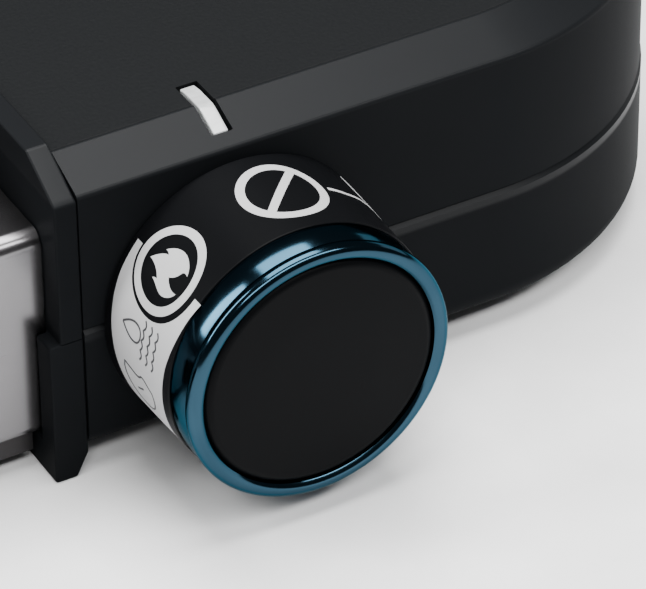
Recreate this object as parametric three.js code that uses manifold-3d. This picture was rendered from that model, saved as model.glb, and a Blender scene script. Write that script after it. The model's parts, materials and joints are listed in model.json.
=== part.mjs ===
// Electric griddle: a control housing on the right, a stainless base that carries a lift-off
// cooking plate and a sliding drip tray, and an end cap on the left, tied by two side frames.
// Millimetres. Inside this file X = 0 is the outer face of the right side frame, Y = 0 is the
// front wall of the housings and Z = 0 is the table; the last lines move the origin to the
// middle of the footprint. +X is to the right, +Y to the back, +Z up.
import * as THREE from "three";
import { mergeVertices } from "three/addons/utils/BufferGeometryUtils.js";
import Module from "manifold-3d";

const wasm = await Module();
wasm.setup();

// ---- Fits ----
const gap = 0.3; // between two pieces that sit against each other
const over = 5; // how far a cutting tool runs past what it cuts

// ---- Overall ----
const deckWidth = 340; // stainless base, between the side frames
const bodyDepth = 290; // front wall to back wall of the housings
const controlWidth = 179; // control housing, from the side frame outwards
const capWidth = 75; // end cap, from the side frame outwards
const cornerRadius = 70;
const cornerSteps = 8;

// ---- Housing shells ----
const wall = 2.6;
const floorHeight = 6;
const seamHeight = 40;
const seamGap = 0.7;
const lowerProud = 0.4; // the lower shell stands out this far below the seam
const hem = 6; // rounding along the lower shell's bottom edge
const hemSteps = 2;
const wallTop = 76.5; // where the front wall meets the sloping band
const bandRise = 5;
const bandRun = 12;
const bandTop = wallTop + bandRise;
const roof = 2.9; // vertical thickness of the sloping band
const crest = 0.8; // flat edge between the band and the panel
const ledgeWidth = 5.2;
const panelThickness = 2.2;
const panelDrop = 0.3; // panel surface below the band's top edge
const panelTop = bandTop - panelDrop;
const panelInset = bandRun + crest;

// ---- Side frames ----
const frameThickness = 5.65;
const frameProud = 0.3;
const frameShoulder = 75.6; // height where the frame's front edge leans back
const frameTop = 83.5;
const frameLean = 13.2; // how far back the leaning edge runs
const runnerWidth = 5.5; // what stands on the table
const runnerSlope = 6;
const footReach = 2.85; // the foot is thicker than the frame, towards the base
const footHeight = 38.3; // of the foot's two ends, in front of the base and behind it

// ---- Stainless base ----
const sheet = 1.2;
const baseFront = 6.75; // set back from the housing wall
const baseBack = bodyDepth - baseFront;
const baseBottom = 9.5;
const deckHeight = 65;
const deckFillet = 4;
const baseHem = 3;
const panInset = 4; // base pan's walls inside the base's walls
const panBottom = 5;
const panWallTop = 14;

// ---- Cooking plate ----
const plateSide = 16; // deck left clear at each end
const plateFront = 30; // from the housing wall plane
const plateBack = 32; // the same, from the back wall plane
const plateCorner = 16;
const plateHeight = 17; // above the deck
const plateFloor = 5;
const plateLift = 2; // hollow under the plate's floor
const rimWidth = 5;
const gutterWidth = 10;
const gutterDepth = 3;
const lipInset = 22; // the ring that drops into the deck's opening
const lipWidth = 4;
const lipDepth = 5;
const lipPlay = 1;
const earLength = 80;
const earReach = 9;
const earThickness = 5;
const earDrop = 2; // below the rim's top
const spoutLength = 36;
const spoutWall = 1.5;
const spoutDrop = 8;

// ---- Drip tray ----
const trayWidth = 216;
const trayLength = 190;
const trayBottom = 16;
const trayHeight = 20;
const trayWall = 1.5;
const trayPlay = 1;
const trayFrontOver = 6; // the front stands over the slot by this much
const railWidth = 8;

// ---- Heater ----
const reflectorHeight = 44;
const reflectorSide = 14;
const reflectorFront = 62;
const reflectorBack = 20;
const elementRadius = 3.5;
const elementInset = 18; // loop inside the plate's ring
const elementBend = 22;
const terminalSpacing = 44;
const terminalHeight = 52;
const terminalReach = 9; // past the side frame, into the control housing
const terminalPlay = 2; // round each heater end where it passes a wall
const restSize = 12;
const fuseRadius = 3;
const fuseLength = 20;
const fuseInset = 30; // from the loop's right leg

// ---- Temperature sensor ----
const sleeveRadius = 8;
const sleeveHeight = 9;
const stemRadius = 4;
const headRadius = 7;
const headHeight = 4;
const springWire = 0.45;
const springTurns = 5;

// ---- Control knob, along its own axis: 0 is the housing wall, plus is towards the user ----
const knobX = 38.74;
const knobZ = 39.87;
const knobRadius = 33;
const flangeReach = 0.8; // the flange at the wall stands out this far
const knobRear = 1;
const barrelFront = 30.2;
const knobLength = 40.5;
const knobWall = 2.4;
const ringWidth = 3.4;
const capPlay = 0.4;
const hubRadius = 8;
const hubRear = 6;
const shaftRadius = 3;
const shaftPlay = 0.4;
const shaftInner = 22; // shaft length behind the wall
const shaftOuter = 22;
const knobSides = 40;

// ---- Behind the knob ----
const neckRadius = 5;
const nutRadius = 9;
const nutThickness = 2.6;
const selectorWidth = 44;
const selectorHeight = 32;
const selectorDepth = 24;
const boardClear = 2.6; // board above the selector
const boardThickness = 1.6;
const boardLeft = 16;
const boardBack = 84;
const boardPastCorner = 3; // right edge, past where the housing's corner begins
const relaySize = { width: 20, depth: 16, height: 12, inset: 20 };
const blockSize = { width: 40, depth: 18, height: 17.7, left: 20, inset: 66 };
const shieldInset = 20;
const shieldBottom = 12;
const shieldTop = 72;
const shieldPlay = 2; // from the bolt heads
const ledSide = 3;
const ledHeight = 4;
const pipeWidth = 4;
const pipeFront = 4.4;
const pipeBack = 20.5;
const pipeThickness = 2;
const pipeProud = 0.25;
const pipeLeg = { front: 14, back: 18 };

// ---- Fasteners, feet and gland ----
const screwShank = 1.75;
const screwHead = 3.6;
const screwHeadHeight = 2.4;
const screwBite = 14; // length in the upper shell's boss
const bossRadius = 4.6;
const bossSink = 1.2; // how far a screw boss runs into the wall beside it
const boltShank = 2;
const boltHead = 4;
const boltHeadHeight = 2.5;
const boltReach = 8; // past the inner face of the frame
const boltInset = 34;
const boltHeight = 30;
const footRadius = 9;
const footStem = 3.4;
const footInset = 55;
const glandBore = 4.5;
const glandRadius = 7.5;
const glandFlange = 11;
const glandProud = 5;
const glandX = 72;
const glandZ = 24;
const leadRadius = 1.3;

// ---- Worked out from the sizes above ----
const baseRight = -frameThickness - gap;
const baseLeft = baseRight - deckWidth;
const leftFrame = baseLeft - gap - frameThickness; // outer face of the left side frame
const middle = (baseLeft + baseRight) / 2;
const plate = {
  left: baseLeft + plateSide,
  right: baseRight - plateSide,
  front: plateFront,
  back: bodyDepth - plateBack,
  bottom: deckHeight + gap,
};
const plateUnder = plate.bottom + plateLift;
const plateSurface = plateUnder + plateFloor;
const plateCentreY = (plate.front + plate.back) / 2;
const elementZ = plateUnder - gap - elementRadius;
const reflectorTop = reflectorHeight + sheet;
const boardZ = knobZ + selectorHeight / 2 + boardClear;
const boardTop = boardZ + boardThickness;
const board = {
  left: boardLeft,
  right: controlWidth - cornerRadius + boardPastCorner,
  front: wall + 2 * bossRadius + 2 * gap,
  back: boardBack,
};
const ringBore = knobRadius - ringWidth;
const capRadius = ringBore - capPlay;

// ---- Shape helpers ----
function toSolid(geometry) {
  const bare = geometry.index ? geometry.toNonIndexed() : geometry.clone();
  bare.deleteAttribute("normal");
  bare.deleteAttribute("uv");
  const merged = mergeVertices(bare, 1e-4);
  return new wasm.Manifold(
    new wasm.Mesh({
      numProp: 3,
      vertProperties: merged.attributes.position.array,
      triVerts: new Uint32Array(merged.index.array),
    }),
  );
}

function toGeometry(body) {
  const { vertProperties, triVerts } = body.getMesh();
  const geometry = new THREE.BufferGeometry();
  geometry.setAttribute("position", new THREE.BufferAttribute(vertProperties, 3));
  geometry.setIndex(new THREE.BufferAttribute(triVerts, 1));
  const flat = geometry.toNonIndexed();
  flat.computeVertexNormals();
  return flat;
}

const join = (first, ...rest) =>
  toGeometry(rest.reduce((body, part) => body.add(toSolid(part)), toSolid(first)));
const cut = (first, ...tools) =>
  toGeometry(tools.reduce((body, tool) => body.subtract(toSolid(tool)), toSolid(first)));
const common = (first, second) => toGeometry(toSolid(first).intersect(toSolid(second)));

function box(x0, x1, y0, y1, z0, z1) {
  const geometry = new THREE.BoxGeometry(Math.abs(x1 - x0), y1 - y0, z1 - z0);
  return geometry.translate((x0 + x1) / 2, (y0 + y1) / 2, (z0 + z1) / 2);
}

// A round rod along one axis; `u` and `v` are its place on the other two, in X, Y, Z order.
function rod(axis, radius, from, to, u, v, sides = 20) {
  const geometry = new THREE.CylinderGeometry(radius, radius, to - from, sides);
  const mid = (from + to) / 2;
  if (axis === "x") return geometry.rotateZ(Math.PI / 2).translate(mid, u, v);
  if (axis === "y") return geometry.translate(u, mid, v);
  return geometry.rotateX(Math.PI / 2).translate(u, v, mid);
}

function prism(shape, z0, z1) {
  const options = { depth: z1 - z0, bevelEnabled: false, curveSegments: cornerSteps };
  return new THREE.ExtrudeGeometry(shape, options).translate(0, 0, z0);
}

// A side profile of [y, z] points, stretched along X.
function sideProfile(points, x0, x1) {
  const shape = new THREE.Shape(points.map(([y, z]) => new THREE.Vector2(y, z)));
  const turn = new THREE.Matrix4().makeBasis(
    new THREE.Vector3(0, 1, 0),
    new THREE.Vector3(0, 0, 1),
    new THREE.Vector3(1, 0, 0),
  );
  return prism(shape, x0, x1).applyMatrix4(turn);
}

function roundedRect(x0, x1, y0, y1, radius) {
  const shape = new THREE.Shape();
  shape.absarc(x1 - radius, y0 + radius, radius, -Math.PI / 2, 0, false);
  shape.absarc(x1 - radius, y1 - radius, radius, 0, Math.PI / 2, false);
  shape.absarc(x0 + radius, y1 - radius, radius, Math.PI / 2, Math.PI, false);
  shape.absarc(x0 + radius, y0 + radius, radius, Math.PI, Math.PI * 1.5, false);
  return new THREE.Shape(distinct(shape.getPoints(cornerSteps)));
}

function turned(profile, sides = knobSides) {
  return new THREE.LatheGeometry(profile.map(([r, y]) => new THREE.Vector2(r, y)), sides);
}

function tube(curve, radius, sides, steps) {
  const section = new THREE.Shape(
    Array.from({ length: sides }, (_, i) => {
      const angle = (i / sides) * 2 * Math.PI;
      return new THREE.Vector2(radius * Math.cos(angle), radius * Math.sin(angle));
    }),
  );
  return new THREE.ExtrudeGeometry(section, { steps, extrudePath: curve, bevelEnabled: false });
}

const point = (x, y, z) => new THREE.Vector3(x, y, z);

// An outline's points without the doubled ones where a line meets an arc.
const distinct = (points) =>
  points.filter((p, i) => p.distanceTo(points[(i + 1) % points.length]) > 1e-3);

// ---- Materials and placing ----
const finishes = {
  graphite: { color: 0x3b3d42, roughness: 0.55, metalness: 0.1 },
  grained: { color: 0x4a4c4f, roughness: 0.8, metalness: 0 },
  blackSoft: { color: 0x1a1a1c, roughness: 0.85, metalness: 0 },
  chrome: { color: 0xa9bcc4, roughness: 0.12, metalness: 1 },
  stainless: { color: 0xb9babb, roughness: 0.3, metalness: 1 },
  zinc: { color: 0x9a9c9e, roughness: 0.45, metalness: 1 },
  castBlack: { color: 0x232325, roughness: 0.6, metalness: 0.2 },
  clear: { color: 0xd8dde0, roughness: 0.15, metalness: 0 },
  rubber: { color: 0x151515, roughness: 0.9, metalness: 0 },
  board: { color: 0x2c5a3c, roughness: 0.6, metalness: 0 },
  cream: { color: 0xd8d2c0, roughness: 0.5, metalness: 0 },
  blue: { color: 0x27457a, roughness: 0.5, metalness: 0 },
  silicone: { color: 0x8a3a2c, roughness: 0.8, metalness: 0 },
};

function add(group, name, geometry, finish) {
  const mesh = new THREE.Mesh(geometry, new THREE.MeshStandardMaterial(finishes[finish]));
  mesh.name = name;
  group.add(mesh);
  return mesh;
}

function groupAt(parent, x, y, z) {
  const group = new THREE.Group();
  group.position.set(x, y, z);
  parent.add(group);
  return group;
}

// ---- End housings; side is 1 for the right one and -1 for the left one ----
// The outline runs past the side frame, so that bevels there are trimmed away.
function endOutline(width, inset, side) {
  const radius = Math.max(cornerRadius - inset, wall);
  const centreX = width - inset - radius;
  const shape = new THREE.Shape();
  shape.moveTo(-cornerRadius, bodyDepth - inset);
  shape.lineTo(-cornerRadius, inset);
  shape.absarc(centreX, inset + radius, radius, -Math.PI / 2, 0, false);
  shape.absarc(centreX, bodyDepth - inset - radius, radius, 0, Math.PI / 2, false);
  const points = distinct(shape.getPoints(cornerSteps));
  return new THREE.Shape(points.map((p) => new THREE.Vector2(p.x * side, p.y)));
}

// A block with the housing's outline, sloped or rounded by run and rise along both its ends.
function endBlock(width, inset, bottom, top, run, rise, steps, side) {
  const block = new THREE.ExtrudeGeometry(endOutline(width, inset + run, side), {
    depth: top - bottom - 2 * rise,
    bevelSize: run,
    bevelThickness: rise,
    bevelSegments: steps,
  });
  return block.translate(0, 0, bottom + rise);
}

// Everything from the side frame outwards, between two heights.
function outwards(side, width, from, bottom, top) {
  return box(side * from, side * (width + over), -over, bodyDepth + over, bottom, top);
}

function screwSpots(width, side) {
  const inset = wall + bossRadius - bossSink;
  const x = Math.max(width - cornerRadius - bossSink, inset + gap + over);
  return [
    [side * x, inset],
    [side * x, bodyDepth - inset],
  ];
}

function footSpots(width, side) {
  return [
    [side * (width / 2 + footRadius), footInset],
    [side * (width / 2 + footRadius), bodyDepth - footInset],
  ];
}

// The sloping band, the walls, a ledge for the panel and the bosses that the screws bite into.
function upperShell(width, side) {
  const outer = endBlock(width, 0, floorHeight, bandTop, bandRun, bandRise, 1, side);
  const inner = endBlock(width, wall, floorHeight, bandTop - roof, bandRun, bandRise, 1, side);
  const ledge = panelTop - panelThickness - gap;
  const shelf = box(-over, side * (width - wall - hem), hem, bodyDepth - hem, ledge - wall, panelTop);
  const bosses = screwSpots(width, side).map(([x, y]) =>
    rod("z", bossRadius, 0, panelTop + over, x, y, 16),
  );
  const pilots = screwSpots(width, side).map(([x, y]) =>
    rod("z", screwShank + gap, 0, seamHeight + screwBite + gap, x, y, 12),
  );
  const recess = prism(endOutline(width, panelInset, side), ledge, bandTop + over);
  const opening = common(
    prism(endOutline(width, panelInset + ledgeWidth, side), floorHeight, bandTop + over),
    outwards(side, width, ledgeWidth, 0, bandTop + 2 * over),
  );
  const shell = cut(outer, cut(inner, shelf, ...bosses), recess, opening, ...pilots);
  return common(shell, outwards(side, width, gap, seamHeight + seamGap, bandTop + over));
}

// The tray under the seam: floor, rounded hem, screw bosses and holes for the feet.
function lowerShell(width, side) {
  const top = seamHeight + 3 * hem;
  const outer = endBlock(width, -lowerProud, floorHeight, top, hem, hem, hemSteps, side);
  const inset = wall - lowerProud;
  const inner = endBlock(width, inset, floorHeight + wall, top, hem, hem, hemSteps, side);
  const bosses = screwSpots(width, side).map(([x, y]) =>
    rod("z", bossRadius, 0, top + over, x, y, 16),
  );
  const holes = screwSpots(width, side).flatMap(([x, y]) => [
    rod("z", screwShank + gap, 0, top, x, y, 12),
    rod("z", screwHead + gap, 0, floorHeight + hem, x, y, 16),
  ]);
  const stems = footSpots(width, side).map(([x, y]) =>
    rod("z", footStem + gap, 0, floorHeight + wall + over, x, y, 16),
  );
  const shell = cut(outer, cut(inner, ...bosses), ...holes, ...stems);
  return common(shell, outwards(side, width, gap, 0, seamHeight));
}

function topPanel(width, side) {
  const outline = endOutline(width, panelInset + gap, side);
  const slab = prism(outline, panelTop - panelThickness, panelTop);
  return common(slab, outwards(side, width, 2 * gap, 0, bandTop + over));
}

const screwSeat = floorHeight + hem - screwHeadHeight - gap;
const screwProfile = [
  [0, 0],
  [screwHead, 0],
  [screwHead, screwHeadHeight],
  [screwShank, screwHeadHeight],
  [screwShank, seamHeight + screwBite - screwSeat],
  [0, seamHeight + screwBite - screwSeat],
];

const footTop = floorHeight + wall + 1;
const footProfile = [
  [0, 0],
  [footRadius - 1, 0],
  [footRadius, 1.2],
  [footRadius, floorHeight - gap],
  [footStem, floorHeight - gap],
  [footStem, footTop],
  [0, footTop],
];

// Housing screws, driven from below, and rubber feet, pushed into the floor.
function addScrewsAndFeet(group, prefix, width, side) {
  screwSpots(width, side).forEach(([x, y], i) => {
    const screw = turned(screwProfile, 12).rotateX(Math.PI / 2).translate(x, y, screwSeat);
    add(group, `${prefix}_screw_${i + 1}`, screw, "zinc");
  });
  footSpots(width, side).forEach(([x, y], i) => {
    const foot = turned(footProfile, 14).rotateX(Math.PI / 2).translate(x, y, 0);
    add(group, `${prefix}_foot_${i + 1}`, foot, "rubber");
  });
}

// ---- Side frames ----
function sideFrame(side) {
  const front = -frameProud;
  const back = bodyDepth + frameProud;
  const profile = [
    [front, 0],
    [back, 0],
    [back, frameShoulder],
    [back - frameLean, frameTop],
    [front + frameLean, frameTop],
    [front, frameShoulder],
  ];
  const inner = -side * frameThickness;
  const plank = sideProfile(profile, Math.min(0, inner), Math.max(0, inner));
  const reach = inner - side * footReach;
  const bite = inner + side * gap; // the foot overlaps the plank by this much
  const strip = (y0, y1, height) => box(Math.min(reach, bite), Math.max(reach, bite), y0, y1, 0, height);
  const foot = [
    strip(front, back, baseBottom - gap),
    strip(front, baseFront - gap, footHeight),
    strip(baseBack + gap, back, footHeight),
  ];
  const slope = new THREE.Shape([
    new THREE.Vector2(reach + side * runnerWidth, -over),
    new THREE.Vector2(reach + side * runnerWidth, 0),
    new THREE.Vector2(side * gap, runnerSlope),
    new THREE.Vector2(side * over, -over),
  ]);
  const length = bodyDepth + 2 * over;
  const wedge = prism(slope, 0, length).rotateX(Math.PI / 2).translate(0, length - over, 0);
  const bolts = boltSpots().map(([y, z]) =>
    rod("x", boltShank + gap, -frameThickness - over, frameThickness + over, y, z, 12),
  );
  const passes = side > 0 ? terminalPasses(-frameThickness - over, over) : [];
  return cut(join(plank, ...foot), wedge, ...bolts, ...passes);
}

const boltSpots = () => [
  [boltInset, boltHeight],
  [bodyDepth - boltInset, boltHeight],
];

// Round holes along X that let the heater's two ends through, with some play.
function terminalPasses(from, to) {
  const half = terminalSpacing / 2;
  return [-half, half].map((y) =>
    rod("x", elementRadius + terminalPlay, from, to, plateCentreY + y, terminalHeight, 16),
  );
}

function addBolts(group, prefix, side) {
  boltSpots().forEach(([y, z], i) => {
    const headEnd = side * (gap + boltHeadHeight);
    const head = rod("x", boltHead, Math.min(side * gap, headEnd), Math.max(side * gap, headEnd), y, z, 6);
    const tip = -side * (frameThickness + boltReach);
    const root = side * (gap + boltHeadHeight / 2);
    const shank = rod("x", boltShank, Math.min(tip, root), Math.max(tip, root), y, z, 12);
    add(group, `${prefix}_frame_bolt_${i + 1}`, join(head, shank), "zinc");
  });
}

// ---- Stainless base ----
// A section with its top corners rounded by `fillet` and its bottom ones cut by `foot`.
function baseSection(front, back, bottom, top, fillet, foot) {
  const corner = (cy, sign) =>
    [0, 1, 2, 3, 4].map((i) => {
      const angle = (i / 4) * (Math.PI / 2);
      const sweep = sign > 0 ? Math.PI / 2 - angle : angle;
      return [cy + sign * fillet * Math.cos(sweep), top - fillet + fillet * Math.sin(sweep)];
    });
  return [
    [front + foot, bottom],
    [back - foot, bottom],
    [back, bottom + foot],
    ...corner(back - fillet, 1).reverse(),
    ...corner(front + fillet, -1).reverse(),
    [front, bottom + foot],
  ];
}

function baseShell() {
  const outer = sideProfile(
    baseSection(baseFront, baseBack, baseBottom, deckHeight, deckFillet, baseHem),
    baseLeft,
    baseRight,
  );
  const innerTop = deckHeight - sheet;
  const inner = sideProfile(
    baseSection(baseFront + sheet, baseBack - sheet, -over, innerTop, deckFillet - sheet, 0),
    baseLeft + sheet,
    baseRight - sheet,
  );
  const hole = lipInset - lipPlay;
  const opening = prism(plateOutline(hole), innerTop - over, deckHeight + over);
  const spout = spoutBox(lipPlay, innerTop - over, deckHeight + over);
  const slot = traySlot(baseFront - over, baseFront + sheet + over);
  const bolts = boltSpots().flatMap(([y, z]) => [
    rod("x", boltShank + gap, baseRight - over, baseRight + over, y, z, 12),
    rod("x", boltShank + gap, baseLeft - over, baseLeft + over, y, z, 12),
  ]);
  return cut(outer, inner, opening, spout, slot, ...bolts, ...terminalPasses(baseRight - over, over));
}

const traySlot = (front, back) =>
  box(
    middle - trayWidth / 2 - trayPlay,
    middle + trayWidth / 2 + trayPlay,
    front,
    back,
    trayBottom - trayPlay,
    trayBottom + trayHeight + trayPlay,
  );

function basePan() {
  const pan = {
    left: baseLeft + panInset,
    right: baseRight - panInset,
    front: baseFront + sheet + gap,
    back: baseBack - sheet - gap,
  };
  const outer = box(pan.left, pan.right, pan.front, pan.back, panBottom, panWallTop);
  const inner = box(
    pan.left + sheet,
    pan.right - sheet,
    pan.front + sheet,
    pan.back - sheet,
    panBottom + sheet,
    panWallTop + over,
  );
  const rails = [-1, 1].map((sign) => {
    const x = middle + sign * (trayWidth / 2 - railWidth);
    const end = baseFront + trayLength;
    return box(x - railWidth / 2, x + railWidth / 2, pan.front, end, panBottom, trayBottom - gap);
  });
  return join(cut(outer, inner), ...rails);
}

// ---- Cooking plate ----
const plateOutline = (inset) =>
  roundedRect(
    plate.left + inset,
    plate.right - inset,
    plate.front + inset,
    plate.back - inset,
    Math.max(plateCorner - inset, gutterDepth),
  );

const gutterFront = plate.front + rimWidth;

// The spout under the gutter, widened by `margin` on every side.
function spoutBox(margin, bottom, top) {
  return box(
    middle - spoutLength / 2 - margin,
    middle + spoutLength / 2 + margin,
    gutterFront + gutterDepth / 2 - margin,
    gutterFront + gutterWidth - gutterDepth / 2 + margin,
    bottom,
    top,
  );
}

function griddlePlate() {
  const top = plate.bottom + plateHeight;
  const block = prism(plateOutline(0), plate.bottom, top);
  const pan = prism(plateOutline(rimWidth), plateSurface, top + over);
  const gutterFloor = plateSurface - gutterDepth;
  const gutter = cut(
    prism(plateOutline(rimWidth), gutterFloor, plateSurface + 1),
    prism(plateOutline(rimWidth + gutterWidth), gutterFloor - 1, plateSurface + 2),
  );
  const hollow = prism(plateOutline(lipInset), plate.bottom - over, plateUnder);
  const lip = cut(
    prism(plateOutline(lipInset), plate.bottom - lipDepth, plateUnder + 1),
    prism(plateOutline(lipInset + lipWidth), plate.bottom - over - lipDepth, plateUnder),
  );
  const ears = [-1, 1].map((sign) => {
    const edge = sign < 0 ? plate.left : plate.right;
    const y = earLength / 2;
    const earTop = top - earDrop;
    const reach = [edge - rimWidth / 2, edge + rimWidth / 2];
    reach[sign < 0 ? 0 : 1] = edge + sign * earReach;
    return box(...reach, plateCentreY - y, plateCentreY + y, earTop - earThickness, earTop);
  });
  const spout = spoutBox(0, plate.bottom - spoutDrop, gutterFloor + 1);
  const drain = spoutBox(-spoutWall, plate.bottom - 2 * spoutDrop, plateSurface + 1);
  const shaped = cut(block, pan, gutter, hollow);
  return cut(join(shaped, lip, spout, ...ears), drain);
}

// ---- Drip tray ----
const tray = {
  left: middle - trayWidth / 2,
  right: middle + trayWidth / 2,
  front: baseFront,
  back: baseFront + trayLength,
  top: trayBottom + trayHeight,
};

// The tray is folded from sheet: a floor, two side walls and two end walls between them.
function trayPieces() {
  const { left, right, front, back, top } = tray;
  const floorTop = trayBottom + trayWall;
  const seat = floorTop + gap;
  const ends = [left + trayWall + gap, right - trayWall - gap];
  return {
    drip_tray: box(left, right, front, back, trayBottom, floorTop),
    tray_wall_left: box(left, left + trayWall, front, back, seat, top),
    tray_wall_right: box(right - trayWall, right, front, back, seat, top),
    tray_wall_front: box(...ends, front, front + trayWall, seat, top),
    tray_wall_back: box(...ends, back - trayWall, back, seat, top),
  };
}

function trayFront() {
  const left = tray.left - trayFrontOver;
  const right = tray.right + trayFrontOver;
  const z0 = trayBottom - trayFrontOver / 2;
  const z1 = tray.top + trayFrontOver;
  const scoop = trayFrontOver / 2;
  const profile = [
    [baseFront - gap, z0],
    [baseFront - gap, z1],
    [scoop, z1],
    [scoop, z1 - scoop],
    [0, z1 - 2 * scoop],
    [0, z0 + scoop],
    [scoop / 2, z0],
  ];
  return sideProfile(profile.reverse(), left, right);
}

// ---- Heater ----
function heatReflector() {
  const left = baseLeft + reflectorSide;
  const right = baseRight - reflectorSide;
  const back = bodyDepth - reflectorBack;
  const foot = panBottom + sheet + gap;
  return join(
    box(left, right, reflectorFront, back, reflectorHeight, reflectorTop),
    box(left, left + sheet, reflectorFront, back, foot, reflectorTop),
    box(right - sheet, right, reflectorFront, back, foot, reflectorTop),
  );
}

// One loop under the plate, whose two ends drop down and run out through the right side frame.
function elementCurve() {
  const inset = lipInset + lipWidth + elementInset;
  const loop = {
    left: plate.left + inset,
    right: plate.right - inset,
    front: plate.front + inset,
    back: plate.back - inset,
  };
  const half = terminalSpacing / 2;
  const bend = elementBend;
  const path = new THREE.CurvePath();
  const corners = [
    point(terminalReach, plateCentreY - half, terminalHeight),
    point(loop.right + bend / 2, plateCentreY - half, terminalHeight),
    point(loop.right, plateCentreY - half - bend / 2, elementZ),
    point(loop.right, loop.front, elementZ),
    point(loop.left, loop.front, elementZ),
    point(loop.left, loop.back, elementZ),
    point(loop.right, loop.back, elementZ),
    point(loop.right, plateCentreY + half + bend / 2, elementZ),
    point(loop.right + bend / 2, plateCentreY + half, terminalHeight),
    point(terminalReach, plateCentreY + half, terminalHeight),
  ];
  const last = corners.length - 1;
  let from = corners[0];
  for (let i = 1; i < last; i += 1) {
    const tight = i === 1 || i === 2 || i === last - 1 || i === last - 2;
    const radius = tight ? bend / 3 : bend;
    const before = corners[i].clone().lerp(corners[i - 1], radius / corners[i].distanceTo(corners[i - 1]));
    const after = corners[i].clone().lerp(corners[i + 1], radius / corners[i].distanceTo(corners[i + 1]));
    path.add(new THREE.LineCurve3(from, before));
    path.add(new THREE.QuadraticBezierCurve3(before, corners[i], after));
    from = after;
  }
  path.add(new THREE.LineCurve3(from, corners[last]));
  return { path, loop };
}

// ---- Knob ----
function knobBarrel() {
  const blind = shaftOuter + gap;
  const bore = shaftRadius + gap;
  const web = blind + wall;
  return turned([
    [0, blind],
    [bore, blind],
    [bore, hubRear],
    [hubRadius, hubRear],
    [hubRadius, web],
    [knobRadius - knobWall, web],
    [knobRadius - knobWall, knobRear],
    [knobRadius + flangeReach, knobRear],
    [knobRadius + flangeReach, knobRear + 1],
    [knobRadius, knobRear + 1.4],
    [knobRadius, barrelFront],
    [0, barrelFront],
  ]);
}

function knobRing() {
  const rear = barrelFront + gap;
  const bead = knobLength - 2.1;
  return turned([
    [ringBore, rear],
    [knobRadius - 0.4, rear],
    [knobRadius - 0.3, bead - 2],
    [knobRadius, bead],
    [knobRadius - 0.8, knobLength - 0.4],
    [knobRadius - 2.2, knobLength],
    [ringBore, knobLength - 0.7],
    [ringBore, rear],
  ]);
}

function knobCap() {
  const rear = barrelFront + gap;
  return turned([
    [0, rear],
    [capRadius, rear],
    [capRadius, knobLength - 2.6],
    [capRadius - 1, knobLength - 1.4],
    [capRadius - 3, knobLength - 0.9],
    [0, knobLength - 0.3],
  ]);
}

// ---- Control housing's own openings ----
function lightPipe() {
  const slope = bandRise / bandRun;
  const onBand = (y) => wallTop + slope * y + pipeProud;
  const crest = bandTop + pipeProud;
  const profile = [
    [pipeFront, onBand(pipeFront)],
    [bandRun, crest],
    [pipeBack, crest],
    [pipeBack, crest - pipeThickness],
    [pipeLeg.back, crest - pipeThickness],
    [pipeLeg.back, boardTop + ledHeight + 2 * gap],
    [pipeLeg.front, boardTop + ledHeight + 2 * gap],
    [pipeLeg.front, crest - pipeThickness],
    [bandRun, crest - pipeThickness],
    [pipeFront, onBand(pipeFront) - pipeThickness],
  ];
  return sideProfile(profile.reverse(), knobX - pipeWidth / 2, knobX + pipeWidth / 2);
}

const pipeSlot = () =>
  box(
    knobX - pipeWidth / 2 - gap,
    knobX + pipeWidth / 2 + gap,
    pipeFront - gap,
    pipeBack + gap,
    bandTop - bandRise - over,
    bandTop + over,
  );

function selectorBody() {
  const front = wall + gap;
  return cut(
    join(
      box(
        knobX - selectorWidth / 2,
        knobX + selectorWidth / 2,
        front,
        front + selectorDepth,
        knobZ - selectorHeight / 2,
        knobZ + selectorHeight / 2,
      ),
      rod("y", neckRadius, -lowerProud - nutThickness - 2 * gap, front + over, knobX, knobZ, 24),
    ),
    rod("y", shaftRadius + shaftPlay, -3 * over, front + selectorDepth + over, knobX, knobZ, 24),
  );
}

function coil(radius, turns, bottom, top, x, y) {
  class Helix extends THREE.Curve {
    getPoint(t) {
      const angle = t * turns * 2 * Math.PI;
      return point(x + radius * Math.cos(angle), y + radius * Math.sin(angle), bottom + t * (top - bottom));
    }
  }
  return new Helix();
}

// ---- Assembly ----
const griddle = new THREE.Group();

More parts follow.
